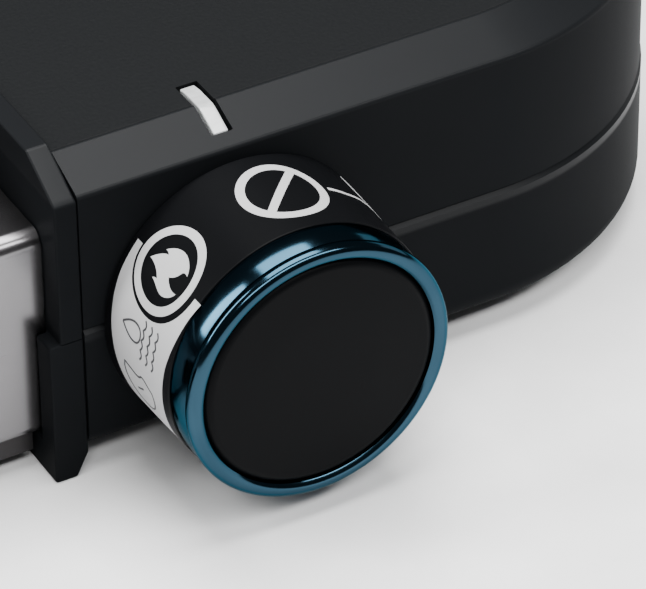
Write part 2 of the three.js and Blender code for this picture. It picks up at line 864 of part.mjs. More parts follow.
function addControlHousing(parent) {
  const group = groupAt(parent, 0, 0, 0);
  const neckHole = rod("y", neckRadius + gap, -over, wall + over, knobX, knobZ, 24);
  const glandHole = rod("y", glandRadius + gap, bodyDepth - over, bodyDepth + over, glandX, glandZ, 20);
  const posts = [
    [board.left + over, board.back - over],
    [board.right - over, board.back - over],
  ];
  const ceiling = bandTop - roof;
  const barTop = panelTop - panelThickness - gap - wall / 2;
  const bar = box(gap, board.right, board.back - 2 * over, board.back, barTop - wall, barTop);
  const pillars = posts.map(([x, y]) =>
    rod("z", bossRadius - 1, boardTop + gap, barTop - wall / 2, x, y, 12),
  );
  const holes = posts.map(([x, y]) => rod("z", screwShank + gap, boardZ - over, ceiling - wall, x, y, 12));
  const upper = cut(join(upperShell(controlWidth, 1), bar, ...pillars), ...holes, neckHole, pipeSlot());
  add(group, "housing_upper", upper, "graphite");
  add(group, "housing_lower", cut(lowerShell(controlWidth, 1), neckHole, glandHole), "graphite");
  add(group, "housing_panel", cut(topPanel(controlWidth, 1), pipeSlot()), "grained");
  add(group, "light_pipe", lightPipe(), "clear");
  addScrewsAndFeet(group, "housing", controlWidth, 1);

  add(group, "selector_switch", selectorBody(), "cream");
  const nutFront = -lowerProud - gap;
  const nut = cut(
    rod("y", nutRadius, nutFront - nutThickness, nutFront, knobX, knobZ, 6),
    rod("y", neckRadius + gap, nutFront - 2 * nutThickness, nutFront + over, knobX, knobZ, 24),
  );
  add(group, "selector_nut", nut, "zinc");

  const slab = box(board.left, board.right, board.front, board.back, boardZ, boardTop);
  add(group, "control_board", cut(slab, ...holes), "board");
  posts.forEach(([x, y], i) => {
    const head = rod("z", screwHead, boardZ - gap - screwHeadHeight, boardZ - gap, x, y, 12);
    const shank = rod("z", screwShank, boardZ - gap - screwHeadHeight / 2, boardTop + 7, x, y, 12);
    add(group, `board_screw_${i + 1}`, join(head, shank), "zinc");
  });
  const onBoard = boardTop + gap;
  const ledY = (pipeLeg.front + pipeLeg.back) / 2;
  const half = ledSide / 2;
  const led = box(knobX - half, knobX + half, ledY - half, ledY + half, onBoard, onBoard + ledHeight);
  add(group, "indicator_led", led, "clear");
  const relayRight = board.right - relaySize.inset;
  const relayBack = (board.front + board.back + relaySize.depth) / 2;
  const relay = box(
    relayRight - relaySize.width,
    relayRight,
    relayBack - relaySize.depth,
    relayBack,
    onBoard,
    onBoard + relaySize.height,
  );
  add(group, "relay", relay, "blue");
  const blockBack = bodyDepth - blockSize.inset;
  const blockBottom = floorHeight + wall + gap;
  const block = box(
    blockSize.left,
    blockSize.left + blockSize.width,
    blockBack - blockSize.depth,
    blockBack,
    blockBottom,
    blockBottom + blockSize.height,
  );
  add(group, "terminal_block", block, "cream");
  const shieldX = gap + boltHeadHeight + shieldPlay;
  const shieldBack = bodyDepth - shieldInset;
  const shield = box(shieldX, shieldX + sheet, shieldInset, shieldBack, shieldBottom, shieldTop);
  add(group, "heat_shield", cut(shield, ...terminalPasses(-over, over + shieldX)), "zinc");

  const rear = bodyDepth + lowerProud;
  const flange = rod("y", glandFlange, rear + gap, rear + glandProud, glandX, glandZ, 24);
  const neck = rod("y", glandRadius, bodyDepth - 10, rear + 1, glandX, glandZ, 24);
  const bore = rod("y", glandBore, bodyDepth - 20, rear + 20, glandX, glandZ, 24);
  add(group, "cord_gland", cut(join(flange, neck), bore), "rubber");
  addLeads(group, block);
}

// Inner wiring: gland to terminal block, block to heater, heater to board.
function addLeads(group, block) {
  block.computeBoundingBox();
  const { min, max } = block.boundingBox;
  const z = (min.z + max.z) / 2;
  const half = terminalSpacing / 2;
  const clear = leadRadius + 2 * gap;
  const end = terminalReach + 2 * gap;
  const routes = {
    lead_mains: [
      point(glandX, bodyDepth - 9, glandZ),
      point(glandX - 2, bodyDepth - 30, glandZ - 2),
      point(max.x - 10, max.y + 18, z),
      point(max.x - 12, max.y + clear, z),
    ],
    lead_heater_rear: [
      point(end, plateCentreY + half, terminalHeight),
      point(end + 14, plateCentreY + half + 2, terminalHeight - 2),
      point(min.x + 10, min.y - 12, z + 8),
      point(min.x + 12, min.y - clear, z),
    ],
    lead_heater_front: [
      point(end, plateCentreY - half, terminalHeight),
      point(end + 16, plateCentreY - half, terminalHeight + 2),
      point(end + 36, board.back + 14, boardTop + 4),
      point(end + 46, board.back - 16, boardTop + clear),
    ],
  };
  for (const [name, points] of Object.entries(routes)) {
    add(group, name, tube(new THREE.CatmullRomCurve3(points), leadRadius, 6, 14), "silicone");
  }
}

function addKnob(parent) {
  const group = groupAt(parent, knobX, 0, knobZ);
  group.rotation.x = Math.PI; // the turned profiles' own Y then points at the user
  add(group, "knob_barrel", knobBarrel(), "graphite");
  add(group, "knob_ring", knobRing(), "chrome");
  add(group, "knob_cap", knobCap(), "blackSoft");
  add(group, "knob_shaft", rod("y", shaftRadius, -shaftInner, shaftOuter, 0, 0), "zinc");
}

function addEndCap(parent) {
  const group = groupAt(parent, leftFrame, 0, 0);
  add(group, "cap_upper", upperShell(capWidth, -1), "graphite");
  add(group, "cap_lower", lowerShell(capWidth, -1), "graphite");
  add(group, "cap_panel", topPanel(capWidth, -1), "grained");
  addScrewsAndFeet(group, "cap", capWidth, -1);
}

function addFrames(parent) {
  const right = groupAt(parent, 0, 0, 0);
  add(right, "side_frame_right", sideFrame(1), "graphite");
  addBolts(right, "right", 1);
  const left = groupAt(parent, leftFrame, 0, 0);
  add(left, "side_frame_left", sideFrame(-1), "graphite");
  addBolts(left, "left", -1);
}

function addBase(parent) {
  const group = groupAt(parent, 0, 0, 0);
  add(group, "base_shell", baseShell(), "stainless");
  add(group, "base_pan", basePan(), "zinc");
  add(group, "griddle_plate", griddlePlate(), "castBlack");
  for (const [name, piece] of Object.entries(trayPieces())) add(group, name, piece, "zinc");
  add(group, "tray_front", trayFront(), "graphite");
  add(group, "heat_reflector", heatReflector(), "zinc");

  const { path, loop } = elementCurve();
  add(group, "heating_element", tube(path, elementRadius, 8, 88), "castBlack");
  const rests = {
    element_rest_front: [middle, loop.front],
    element_rest_rear: [middle, loop.back],
    element_rest_left: [loop.left, plateCentreY],
  };
  const restTop = elementZ - elementRadius - gap;
  for (const [name, [x, y]] of Object.entries(rests)) {
    const half = restSize / 2;
    add(group, name, box(x - half, x + half, y - half, y + half, reflectorTop + gap, restTop), "zinc");
  }
  const fuseX = loop.right - fuseInset;
  const fuseHalf = fuseLength / 2;
  const fuseZ = reflectorTop + gap + fuseRadius;
  const fuse = rod("y", fuseRadius, plateCentreY - fuseHalf, plateCentreY + fuseHalf, fuseX, fuseZ);
  add(group, "thermal_fuse", fuse, "cream");
  addSensor(group);
}

function addSensor(group) {
  const seat = reflectorTop + gap;
  const sleeveTop = seat + sleeveHeight;
  const headTop = plateUnder - gap;
  const headBottom = headTop - headHeight;
  const sleeve = cut(
    rod("z", sleeveRadius, seat, sleeveTop, middle, plateCentreY, 24),
    rod("z", stemRadius + shaftPlay, seat - over, sleeveTop + over, middle, plateCentreY, 24),
  );
  add(group, "sensor_sleeve", sleeve, "zinc");
  const head = rod("z", headRadius, headBottom, headTop, middle, plateCentreY, 24);
  const stem = rod("z", stemRadius, sleeveTop - sleeveHeight / 2, headBottom + 1, middle, plateCentreY, 20);
  add(group, "sensor_plunger", join(head, stem), "chrome");
  const radius = (stemRadius + headRadius) / 2;
  const clear = springWire + gap;
  const helix = coil(radius, springTurns, sleeveTop + clear, headBottom - clear, middle, plateCentreY);
  add(group, "sensor_spring", tube(helix, springWire, 5, springTurns * 9), "zinc");
}

addControlHousing(griddle);
addKnob(griddle);
addFrames(griddle);
addBase(griddle);
addEndCap(griddle);

// Origin to the middle of the footprint, on the table.
const xMiddle = (controlWidth + leftFrame - capWidth) / 2;
const yMiddle = (bodyDepth + lowerProud + glandProud - knobLength) / 2;
griddle.position.set(-xMiddle, -yMiddle, 0);

export default griddle;
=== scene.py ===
"""Electric griddle: the finished look of every piece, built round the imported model.

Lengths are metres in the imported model's own frame: +X to the user's right along the front, +Y to
the back, +Z up, with the origin in the middle of the footprint on the table.
"""

import json
import logging
import math
from collections.abc import Iterable, Sequence
from dataclasses import dataclass
from enum import Enum

import bmesh
import bpy
from bmesh.types import BMEdge, BMesh, BMFace
from bpy.types import Material, Node, NodeSocket, Object
from mathutils import Matrix, Vector
from mathutils.geometry import interpolate_bezier


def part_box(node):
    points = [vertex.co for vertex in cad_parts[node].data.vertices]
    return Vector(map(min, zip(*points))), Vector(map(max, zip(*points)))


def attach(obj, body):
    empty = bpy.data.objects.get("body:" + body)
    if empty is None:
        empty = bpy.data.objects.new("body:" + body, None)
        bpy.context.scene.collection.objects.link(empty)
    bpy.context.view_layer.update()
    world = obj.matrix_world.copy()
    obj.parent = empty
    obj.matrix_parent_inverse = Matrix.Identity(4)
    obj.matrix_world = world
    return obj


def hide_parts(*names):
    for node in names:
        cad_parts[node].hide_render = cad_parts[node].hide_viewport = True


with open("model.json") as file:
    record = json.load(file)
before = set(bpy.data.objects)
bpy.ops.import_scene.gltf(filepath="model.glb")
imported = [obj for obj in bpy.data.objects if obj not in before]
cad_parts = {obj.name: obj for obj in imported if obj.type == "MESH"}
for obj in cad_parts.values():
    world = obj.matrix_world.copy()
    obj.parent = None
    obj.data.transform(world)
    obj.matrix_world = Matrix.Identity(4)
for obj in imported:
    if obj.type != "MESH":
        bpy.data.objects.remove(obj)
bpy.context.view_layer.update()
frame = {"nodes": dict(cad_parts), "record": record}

LOG = logging.getLogger("griddle")
MM = 0.001
UP = Vector((0, 0, 1))
DOWN = Vector((0, 0, -1))
X, Z = 0, 2
CLOSE = 1e-6
ON_PLANE = 1e-7
ALIGNED = 0.9
FACING = 0.99
CREASE = 0.1
SHADES = 0.88, 1.12
Colour = tuple[float, float, float]
Outline = Sequence[tuple[float, float]]


class Body(Enum):
    """The bodies that pieces ride on."""

    BASE = "base"
    KNOB = "knob"
    TRAY = "tray"
    PLATE = "plate"
    SENSOR = "sensor"


class Side(Enum):
    """Which end of the griddle a mirrored piece belongs to."""

    RIGHT = 1
    LEFT = -1


# ---------------------------------------------------------------- materials


class Shader:
    """A builder for one procedural material."""

    def __init__(self, name: str) -> None:
        """Makes an empty principled material.

        Args:
            name: The material's name.
        """
        self.material: Material = bpy.data.materials.new(name)
        self.material.use_nodes = True
        self.nodes = self.material.node_tree.nodes
        self.links = self.material.node_tree.links
        self.surface: Node = self.nodes["Principled BSDF"]
        self.place: NodeSocket = self.nodes.new("ShaderNodeTexCoord").outputs["Object"]

    def set(self, **values: object) -> "Shader":
        """Sets the surface's own sockets, with _ for the spaces in their names."""
        for name, value in values.items():
            self.surface.inputs[name.replace("_", " ")].default_value = value
        return self

    def stretched(self, scale: Vector) -> NodeSocket:
        """Object coordinates scaled along each axis.

        Args:
            scale: The factor along X, Y and Z.

        Returns:
            The scaled coordinates.
        """
        mapping = self.nodes.new("ShaderNodeMapping")
        mapping.inputs["Scale"].default_value = scale
        self.links.new(self.place, mapping.inputs["Vector"])
        return mapping.outputs["Vector"]

    def noise(self, size: float, detail: float = 3, place: NodeSocket | None = None) -> NodeSocket:
        """Cloudy noise.

        Args:
            size: The length of one feature, in metres.
            detail: How many finer layers it has.
            place: The coordinates, or the object's own.

        Returns:
            The noise, about 0 to 1.
        """
        node = self.nodes.new("ShaderNodeTexNoise")
        node.inputs["Scale"].default_value = 1 / size
        node.inputs["Detail"].default_value = detail
        self.links.new(place or self.place, node.inputs["Vector"])
        return node.outputs["Fac"]

    def height(self) -> NodeSocket:
        """The height above the table."""
        node = self.nodes.new("ShaderNodeSeparateXYZ")
        self.links.new(self.place, node.inputs["Vector"])
        return node.outputs["Z"]

    def cells(self, size: float, feature: str = "SMOOTH_F1") -> NodeSocket:
        """Distance inside rounded cells.

        Args:
            size: The width of one cell, in metres.
            feature: Which distance of the cell pattern is read.

        Returns:
            The distance.
        """
        node = self.nodes.new("ShaderNodeTexVoronoi")
        node.feature = feature
        node.inputs["Scale"].default_value = 1 / size
        self.links.new(self.place, node.inputs["Vector"])
        return node.outputs["Distance"]

    def remap(self, source: NodeSocket, **ends: float) -> NodeSocket:
        """Maps one range onto another; each range is 0 to 1 unless its ends are given."""
        node = self.nodes.new("ShaderNodeMapRange")
        for end, value in ends.items():
            node.inputs[end.replace("_", " ").title()].default_value = value
        self.links.new(source, node.inputs["Value"])
        return node.outputs["Result"]

    def spread(self, source: NodeSocket, low: float, high: float) -> NodeSocket:
        """Maps 0 to 1 onto low to high."""
        return self.remap(source, to_min=low, to_max=high)

    def step(self, source: NodeSocket, low: float, high: float) -> NodeSocket:
        """Rises from 0 to 1 as the source goes from low to high."""
        return self.remap(source, from_min=low, from_max=high)

    def skin(self, colour: Colour, size: float) -> tuple[NodeSocket, NodeSocket]:
        """Wires a colour that drifts a little, as on moulded plastic.

        Args:
            colour: The middle colour.
            size: The length of one feature of the fine grain.

        Returns:
            The slow drift and the fine grain.
        """
        cloud = self.noise(30 * MM, 4)
        grain = self.noise(size, 2)
        dark, light = (tuple(share * c for c in colour) for share in SHADES)
        self.wire("Base Color", self.tint(cloud, dark, light))
        return cloud, grain

    def sum(self, first: NodeSocket, second: NodeSocket, share: float) -> NodeSocket:
        """The first value plus a share of the second."""
        node = self.nodes.new("ShaderNodeMath")
        node.operation = "MULTIPLY_ADD"
        node.inputs[1].default_value = share
        self.links.new(second, node.inputs[0])
        self.links.new(first, node.inputs[2])
        return node.outputs[0]

    def tint(self, source: NodeSocket, low: Colour, high: Colour) -> NodeSocket:
        """A colour between two, by a value from 0 to 1."""
        node = self.nodes.new("ShaderNodeMix")
        node.data_type = "RGBA"
        node.inputs["A"].default_value = (*low, 1)
        node.inputs["B"].default_value = (*high, 1)
        self.links.new(source, node.inputs["Factor"])
        return node.outputs["Result"]

    def wire(self, socket: str, source: NodeSocket) -> "Shader":
        """Links a value to one of the surface's sockets."""
        self.links.new(source, self.surface.inputs[socket])
        return self

    def relief(self, height: NodeSocket, depth: float, strength: float = 1) -> "Shader":
        """Raises the surface by a pattern.

        Args:
            height: The pattern, about 0 to 1.
            depth: The height of its full range, in metres.
            strength: How much of it shows.

        Returns:
            This builder.
        """
        node = self.nodes.new("ShaderNodeBump")
        node.inputs["Distance"].default_value = depth
        node.inputs["Strength"].default_value = strength
        self.links.new(height, node.inputs["Height"])
        return self.wire("Normal", node.outputs["Normal"])


@dataclass(frozen=True)
class Moulded:
    """Moulded plastic or rubber with a fine even skin."""

    name: str
    colour: Colour
    roughness: float = 0.4
    skin: float = 0.5 * MM
    depth: float = 0.006 * MM
    gloss: float = 0.4

    def build(self) -> Material:
        """Makes the material."""
        shader = Shader(self.name).set(Specular_IOR_Level=self.gloss)
        cloud, grain = shader.skin(self.colour, self.skin)
        rough = shader.sum(shader.spread(cloud, -0.04, 0.04), grain, 0.08)
        rough = shader.sum(shader.spread(grain, self.roughness - 0.04, self.roughness - 0.04), rough, 1)
        return shader.wire("Roughness", rough).relief(grain, self.depth).material


@dataclass(frozen=True)
class TwoZone:
    """Moulded plastic that is matte on the walls and satin above a height."""

    name: str
    colour: Colour
    edge: float
    matte: float = 0.5
    satin: float = 0.33
    wall_gloss: float = 0.015
    top_gloss: float = 0.08
    skin: float = 0.5 * MM
    depth: float = 0.006 * MM

    def build(self) -> Material:
        """Makes the material."""
        shader = Shader(self.name)
        _, grain = shader.skin(self.colour, self.skin)
        above = shader.step(shader.height(), self.edge - 0.5 * MM, self.edge + 0.5 * MM)
        shader.wire("Specular IOR Level", shader.spread(above, self.wall_gloss, self.top_gloss))
        rough = shader.sum(shader.spread(above, self.matte, self.satin), grain, 0.06)
        return shader.wire("Roughness", rough).relief(grain, self.depth).material


@dataclass(frozen=True)
class Leathery:
    """Matte plastic with a pressed leather grain."""

    name: str
    colour: Colour
    roughness: float = 0.62
    cell: float = 0.95 * MM
    depth: float = 0.09 * MM
    gloss: float = 0.4

    def build(self) -> Material:
        """Makes the material."""
        shader = Shader(self.name).set(Specular_IOR_Level=self.gloss)
        pebbles = shader.cells(self.cell)
        folds = shader.noise(self.cell * 0.9, 4)
        height = shader.sum(shader.spread(pebbles, 0.2, -0.6), folds, 0.9)
        valley = tuple(0.72 * c for c in self.colour)
        crest = tuple(1.25 * c for c in self.colour)
        shader.wire("Base Color", shader.tint(folds, valley, crest))
        shader.wire("Roughness", shader.spread(folds, self.roughness + 0.12, self.roughness - 0.12))
        return shader.relief(height, self.depth).material


@dataclass(frozen=True)
class BrushedMetal:
    """Sheet metal with a fine brush along one axis and faint smudges."""

    name: str
    colour: Colour
    roughness: float = 0.2
    grain: tuple[float, float, float] = (0.02, 1, 1)
    streak: float = 0.25 * MM
    depth: float = 0.0016 * MM

    def build(self) -> Material:
        """Makes the material."""
        shader = Shader(self.name).set(Metallic=1.0)
        streaks = shader.noise(self.streak, 2, shader.stretched(Vector(self.grain)))
        smudge = shader.noise(45 * MM, 3)
        dark = tuple(0.94 * c for c in self.colour)
        shader.wire("Base Color", shader.tint(smudge, dark, self.colour))
        rough = shader.sum(shader.spread(smudge, self.roughness - 0.05, self.roughness + 0.03), streaks, 0.1)
        return shader.wire("Roughness", rough).relief(streaks, self.depth).material


@dataclass(frozen=True)
class Plated:
    """Zinc plate: pale metal with soft crystal patches."""

    name: str
    colour: Colour
    roughness: float = 0.38
    patch: float = 6 * MM

    def build(self) -> Material:
        """Makes the material."""
        shader = Shader(self.name).set(Metallic=1.0)
        patches = shader.cells(self.patch, "F1")
        fine = shader.noise(0.6 * MM, 2)
        dark = tuple(0.82 * c for c in self.colour)
        shader.wire("Base Color", shader.tint(patches, self.colour, dark))
        rough = shader.sum(shader.spread(patches, self.roughness - 0.08, self.roughness + 0.08), fine, 0.06)
        return shader.wire("Roughness", rough).relief(fine, 0.004 * MM).material


@dataclass(frozen=True)
class TintedChrome:
    """Polished chrome with a cool tint that deepens in soft patches."""

    name: str
    deep: Colour
    pale: Colour
    edge: Colour = (0.45, 0.55, 0.6)
    roughness: float = 0.12

    def build(self) -> Material:
        """Makes the material."""
        shader = Shader(self.name).set(Metallic=1.0, Specular_Tint=(*self.edge, 1))
        cloud = shader.noise(22 * MM, 2)
        smear = shader.noise(4 * MM, 3)
        shader.wire("Base Color", shader.tint(cloud, self.deep, self.pale))
        rough = shader.spread(smear, self.roughness - 0.03, self.roughness + 0.05)
        return shader.wire("Roughness", rough).relief(smear, 0.004 * MM).material


@dataclass(frozen=True)
class NonStick:
    """Black cooking coat with fine pale flecks and a sprayed texture."""

    name: str
    colour: Colour
    fleck: Colour
    roughness: float = 0.42

    def build(self) -> Material:
        """Makes the material."""
        shader = Shader(self.name).set(Specular_IOR_Level=0.5)
        spray = shader.noise(0.7 * MM, 3)
        speck = shader.step(shader.cells(1.6 * MM, "F1"), 0.16, 0.1)
        shader.wire("Base Color", shader.tint(speck, self.colour, self.fleck))
        shader.wire("Roughness", shader.spread(spray, self.roughness - 0.1, self.roughness + 0.14))
        return shader.relief(spray, 0.03 * MM).material


@dataclass(frozen=True)
class ClearGuide:
    """Clear acrylic, slightly milky, with fine mould marks inside."""

    name: str
    colour: Colour
    clearness: float = 0.35

    def build(self) -> Material:
        """Makes the material."""
        shader = Shader(self.name).set(Transmission_Weight=self.clearness, IOR=1.49, Coat_Weight=0.6)
        ribs = shader.noise(1.4 * MM, 2, shader.stretched(Vector((0.4, 1, 1))))
        shade = tuple(0.62 * c for c in self.colour)
        shader.wire("Base Color", shader.tint(ribs, shade, self.colour))
        shader.wire("Roughness", shader.spread(ribs, 0.1, 0.32))
        return shader.relief(ribs, 0.04 * MM).material


@dataclass(frozen=True)
class CircuitBoard:
    """Green board with paler tracks."""

    name: str
    colour: Colour
    track: Colour

    def build(self) -> Material:
        """Makes the material."""
        shader = Shader(self.name).set(Specular_IOR_Level=0.5)
        lines = shader.step(shader.cells(7 * MM, "DISTANCE_TO_EDGE"), 0.08, 0.05)
        shader.wire("Base Color", shader.tint(lines, self.colour, self.track))
        fine = shader.noise(1 * MM, 2)
        return shader.wire("Roughness", shader.spread(fine, 0.3, 0.5)).relief(lines, 0.03 * MM).material


@dataclass(frozen=True)
class HeatedSheath:
    """Dark heater sheath with brown heat tints."""

    name: str
    colour: Colour
    tint: Colour

    def build(self) -> Material:
        """Makes the material."""
        shader = Shader(self.name).set(Metallic=0.8)
        cloud = shader.noise(18 * MM, 4)
        fine = shader.noise(0.5 * MM, 3)
        shader.wire("Base Color", shader.tint(cloud, self.colour, self.tint))
        return shader.wire("Roughness", shader.spread(fine, 0.4, 0.7)).relief(fine, 0.02 * MM).material


class Finishes:
    """Every material of the griddle, built once."""

    def __init__(self) -> None:
        """Builds them all."""
        self.graphite = TwoZone("graphite_plastic", (0.006, 0.0066, 0.0074), 76 * MM).build()
        self.graphite_lower = TwoZone("graphite_lower", (0.006, 0.0066, 0.0074), 37.2 * MM).build()
        self.grained = Leathery("grained_plastic", (0.0048, 0.0053, 0.0058), gloss=0.08).build()
        soft_black = Moulded("soft_black", (0.0024, 0.0026, 0.003), 0.4, 0.35 * MM, 0.014 * MM, 0.03)
        self.soft_black = soft_black.build()
        self.barrel = Moulded("knob_black", (0.003, 0.0032, 0.0037), 0.36, gloss=0.04).build()
        self.chrome = TintedChrome("chrome_trim", (0.013, 0.035, 0.054), (0.027, 0.06, 0.085)).build()
        self.stainless = BrushedMetal("stainless", (0.2, 0.194, 0.2)).build()
        self.zinc = Plated("plated_steel", (0.56, 0.57, 0.58)).build()
        # Steel darkened below its own colour: painted shade for the base pan's band under the deck.
        self.steel_painted_shade = BrushedMetal("steel_painted_shade", (0.042, 0.04, 0.041), 0.34).build()
        self.non_stick = NonStick("nonstick_cast", (0.013, 0.013, 0.014), (0.07, 0.07, 0.07)).build()
        self.clear = ClearGuide("clear_plastic", (0.78, 0.8, 0.8)).build()
        self.rubber = Moulded("rubber_black", (0.012, 0.012, 0.012), 0.75, 0.8 * MM, 0.02 * MM, 0.2).build()
        self.print_pale = Moulded("print_pale", (0.42, 0.42, 0.425), 0.45, 0.3 * MM, 0.003 * MM).build()
        self.print_dark = Moulded("print_dark", (0.035, 0.035, 0.038), 0.5, 0.3 * MM, 0.003 * MM).build()
        self.board = CircuitBoard("board_green", (0.012, 0.09, 0.035), (0.03, 0.2, 0.08)).build()
        self.cream = Moulded("cream_plastic", (0.62, 0.57, 0.45), 0.45).build()
        self.blue = Moulded("blue_plastic", (0.02, 0.06, 0.2), 0.3).build()
        self.silicone = Moulded("silicone", (0.3, 0.05, 0.035), 0.6).build()
        self.heater = HeatedSheath("element_sheath", (0.05, 0.047, 0.045), (0.12, 0.08, 0.05)).build()
        self.floor = Moulded("pale_floor", (0.86, 0.86, 0.86), 0.7, 4 * MM, 0.002 * MM, 0.1).build()


# ---------------------------------------------------------------- mesh tools


def block(low: Vector, high: Vector) -> BMesh:
    """A box between two corners."""
    bm = bmesh.new()
    bmesh.ops.create_cube(bm, size=1)
    bmesh.ops.scale(bm, vec=high - low, verts=bm.verts)
    bmesh.ops.translate(bm, vec=(low + high) / 2, verts=bm.verts)
    return bm


def level(bm: BMesh, axis: int, value: float) -> list[BMEdge]:
    """The edges whose two ends lie at a value along an axis."""
    return [e for e in bm.edges if all(abs(v.co[axis] - value) < CLOSE for v in e.verts)]


def along(edges: Iterable[BMEdge], axis: int) -> list[BMEdge]:
    """Those edges that run along an axis."""
    return [e for e in edges if abs((e.verts[0].co - e.verts[1].co).normalized()[axis]) > ALIGNED]


def creases(edges: Iterable[BMEdge]) -> list[BMEdge]:
    """Those edges whose two faces meet at an angle."""
    return [e for e in edges if e.calc_face_angle(0) > CREASE]


def split(bm: BMesh, point: Vector, way: Vector, clear: bool = False) -> list[BMEdge]:
    """Cuts a mesh along a plane.

    Args:
        bm: The mesh.
        point: A point of the plane.
        way: The plane's normal.
        clear: Whether what lies beyond the plane goes.

    Returns:
        The edges of the cut.
    """
    whole = bm.verts[:] + bm.edges[:] + bm.faces[:]
    cut = bmesh.ops.bisect_plane(
        bm, geom=whole, dist=ON_PLANE, plane_co=point, plane_no=way, clear_outer=clear
    )
    return [e for e in cut["geom_cut"] if isinstance(e, BMEdge)]


def face_towards(bm: BMesh, way: Vector) -> BMFace:
    """The face that lies furthest along a direction and faces it."""
    facing = [f for f in bm.faces if f.normal.dot(way) > FACING]
    return max(facing, key=lambda f: (round(f.calc_center_median().dot(way), 6), f.calc_area()))


def round_edges(bm: BMesh, edges: Sequence[BMEdge], radius: float, segments: int) -> None:
    """Rounds edges to a radius."""
    bmesh.ops.bevel(
        bm, geom=list(edges), offset=radius, offset_type="OFFSET", segments=segments, profile=0.5,
        affect="EDGES", material=-1, clamp_overlap=True,
    )


def sink(bm: BMesh, face: BMFace, margin: float, depth: float) -> BMFace:
    """Sinks the middle of a face straight in, or raises it where depth is negative.

    Args:
        bm: The mesh.
        face: The face.
        margin: How far inside the face's edge the step stands.
        depth: How far it goes against the face's normal.

    Returns:
        The face at the new depth.
    """
    way = face.normal.copy()
    if margin:
        bmesh.ops.inset_region(bm, faces=[face], thickness=margin, use_even_offset=True)
    raised = bmesh.ops.extrude_discrete_faces(bm, faces=[face])["faces"][0]
    bmesh.ops.translate(bm, vec=-way * depth, verts=raised.verts)
    return raised


def slice_off(bm: BMesh, point: Vector, way: Vector) -> None:
    """Cuts away what lies beyond a plane and closes the cut.

    Args:
        bm: The mesh.
        point: A point of the plane.
        way: The direction of what goes.
    """
    bmesh.ops.holes_fill(bm, edges=split(bm, point, way, clear=True), sides=0)


def fillet(points: Sequence[tuple[float, float, float]], steps: int = 5, closed: bool = False) -> Outline:
    """Rounds the corners of a path.

    Args:
        points: Each corner's two coordinates and its radius.
        steps: How many pieces each round corner has.
        closed: Whether the last point joins the first.

    Returns:
        The rounded path.
    """
    path: list[tuple[float, float]] = []
    count = len(points)
    for i, (x, y, radius) in enumerate(points):
        if radius == 0 or (not closed and i in (0, count - 1)):
            path.append((x, y))
            continue
        here = Vector((x, y))
        before = (Vector(points[i - 1][:2]) - here).normalized()
        after = (Vector(points[(i + 1) % count][:2]) - here).normalized()
        half = before.angle(after) / 2
        centre = here + (before + after).normalized() * radius / math.sin(half)
        start = here + before * radius / math.tan(half) - centre
        turn = start.angle_signed(here + after * radius / math.tan(half) - centre)
        for k in range(steps + 1):
            arm = start.copy()
            arm.rotate(Matrix.Rotation(-turn * k / steps, 2))
            path.append(tuple(centre + arm))
    return path


def spun(profile: Outline, steps: int = 96) -> BMesh:
    """Turns a profile of (radius, height) points about Z.

    Args:
        profile: It starts and ends on the axis, or ends where it starts.
        steps: How many pieces the turn has.

    Returns:
        A closed mesh.
    """
    bm = bmesh.new()
    verts = [bm.verts.new((r, 0, h)) for r, h in profile]
    edges = [bm.edges.new(pair) for pair in zip(verts, verts[1:])]
    bmesh.ops.spin(
        bm, geom=verts + edges, cent=(0, 0, 0), axis=(0, 0, 1), angle=math.tau, steps=steps,
        use_merge=True, use_duplicate=False,
    )
    bmesh.ops.remove_doubles(bm, verts=bm.verts, dist=CLOSE)
    bmesh.ops.recalc_face_normals(bm, faces=bm.faces)
    return bm


def extruded(outline: Outline, low: float, high: float) -> BMesh:
    """Stretches a flat (y, z) outline along X.

    Args:
        outline: The closed outline.
        low: Where it starts along X.
        high: Where it ends.

    Returns:
        A closed mesh.
    """
    bm = bmesh.new()
    face = bm.faces.new([bm.verts.new((low, y, z)) for y, z in outline])
    moved = bmesh.ops.extrude_face_region(bm, geom=[face], use_keep_orig=True)["geom"]
    verts = [v for v in moved if isinstance(v, bmesh.types.BMVert)]
    bmesh.ops.translate(bm, vec=(high - low, 0, 0), verts=verts)
    bmesh.ops.recalc_face_normals(bm, faces=bm.faces)
    return bm


def rounded(path: Sequence[tuple[Vector, float]], steps: int = 8) -> list[Vector]:
    """Rounds the corners of a path in space.

    Args:
        path: Each corner and how far from it the curve starts.
        steps: How many pieces each curve has.

    Returns:
        The points of the path.
    """
    points = [path[0][0]]
    for (before, _), (here, reach), (after, _) in zip(path, path[1:], path[2:]):
        start = here + (before - here).normalized() * reach
        end = here + (after - here).normalized() * reach
        points += interpolate_bezier(start, start.lerp(here, 0.56), end.lerp(here, 0.56), end, steps + 1)
    return [*points, path[-1][0]]


def tube(name: str, path: Sequence[Vector], radius: float) -> Object:
    """A round tube along a path, with closed ends."""
    curve = bpy.data.curves.new(name, "CURVE")
    curve.dimensions = "3D"
    curve.bevel_depth = radius
    curve.bevel_resolution = 5
    curve.use_fill_caps = True
    line = curve.splines.new("POLY")
    line.points.add(len(path) - 1)
    for point, place in zip(line.points, path):
        point.co = (*place, 1)
    helper = bpy.data.objects.new(name, curve)
    bpy.context.scene.collection.objects.link(helper)
    bpy.context.view_layer.update()
    mesh = bpy.data.meshes.new_from_object(helper.evaluated_get(bpy.context.evaluated_depsgraph_get()))
    bpy.data.objects.remove(helper)
    bm = bmesh.new()
    bm.from_mesh(mesh)
    bmesh.ops.remove_doubles(bm, verts=bm.verts, dist=CLOSE)
    bmesh.ops.recalc_face_normals(bm, faces=bm.faces)
    return as_object(name, bm)


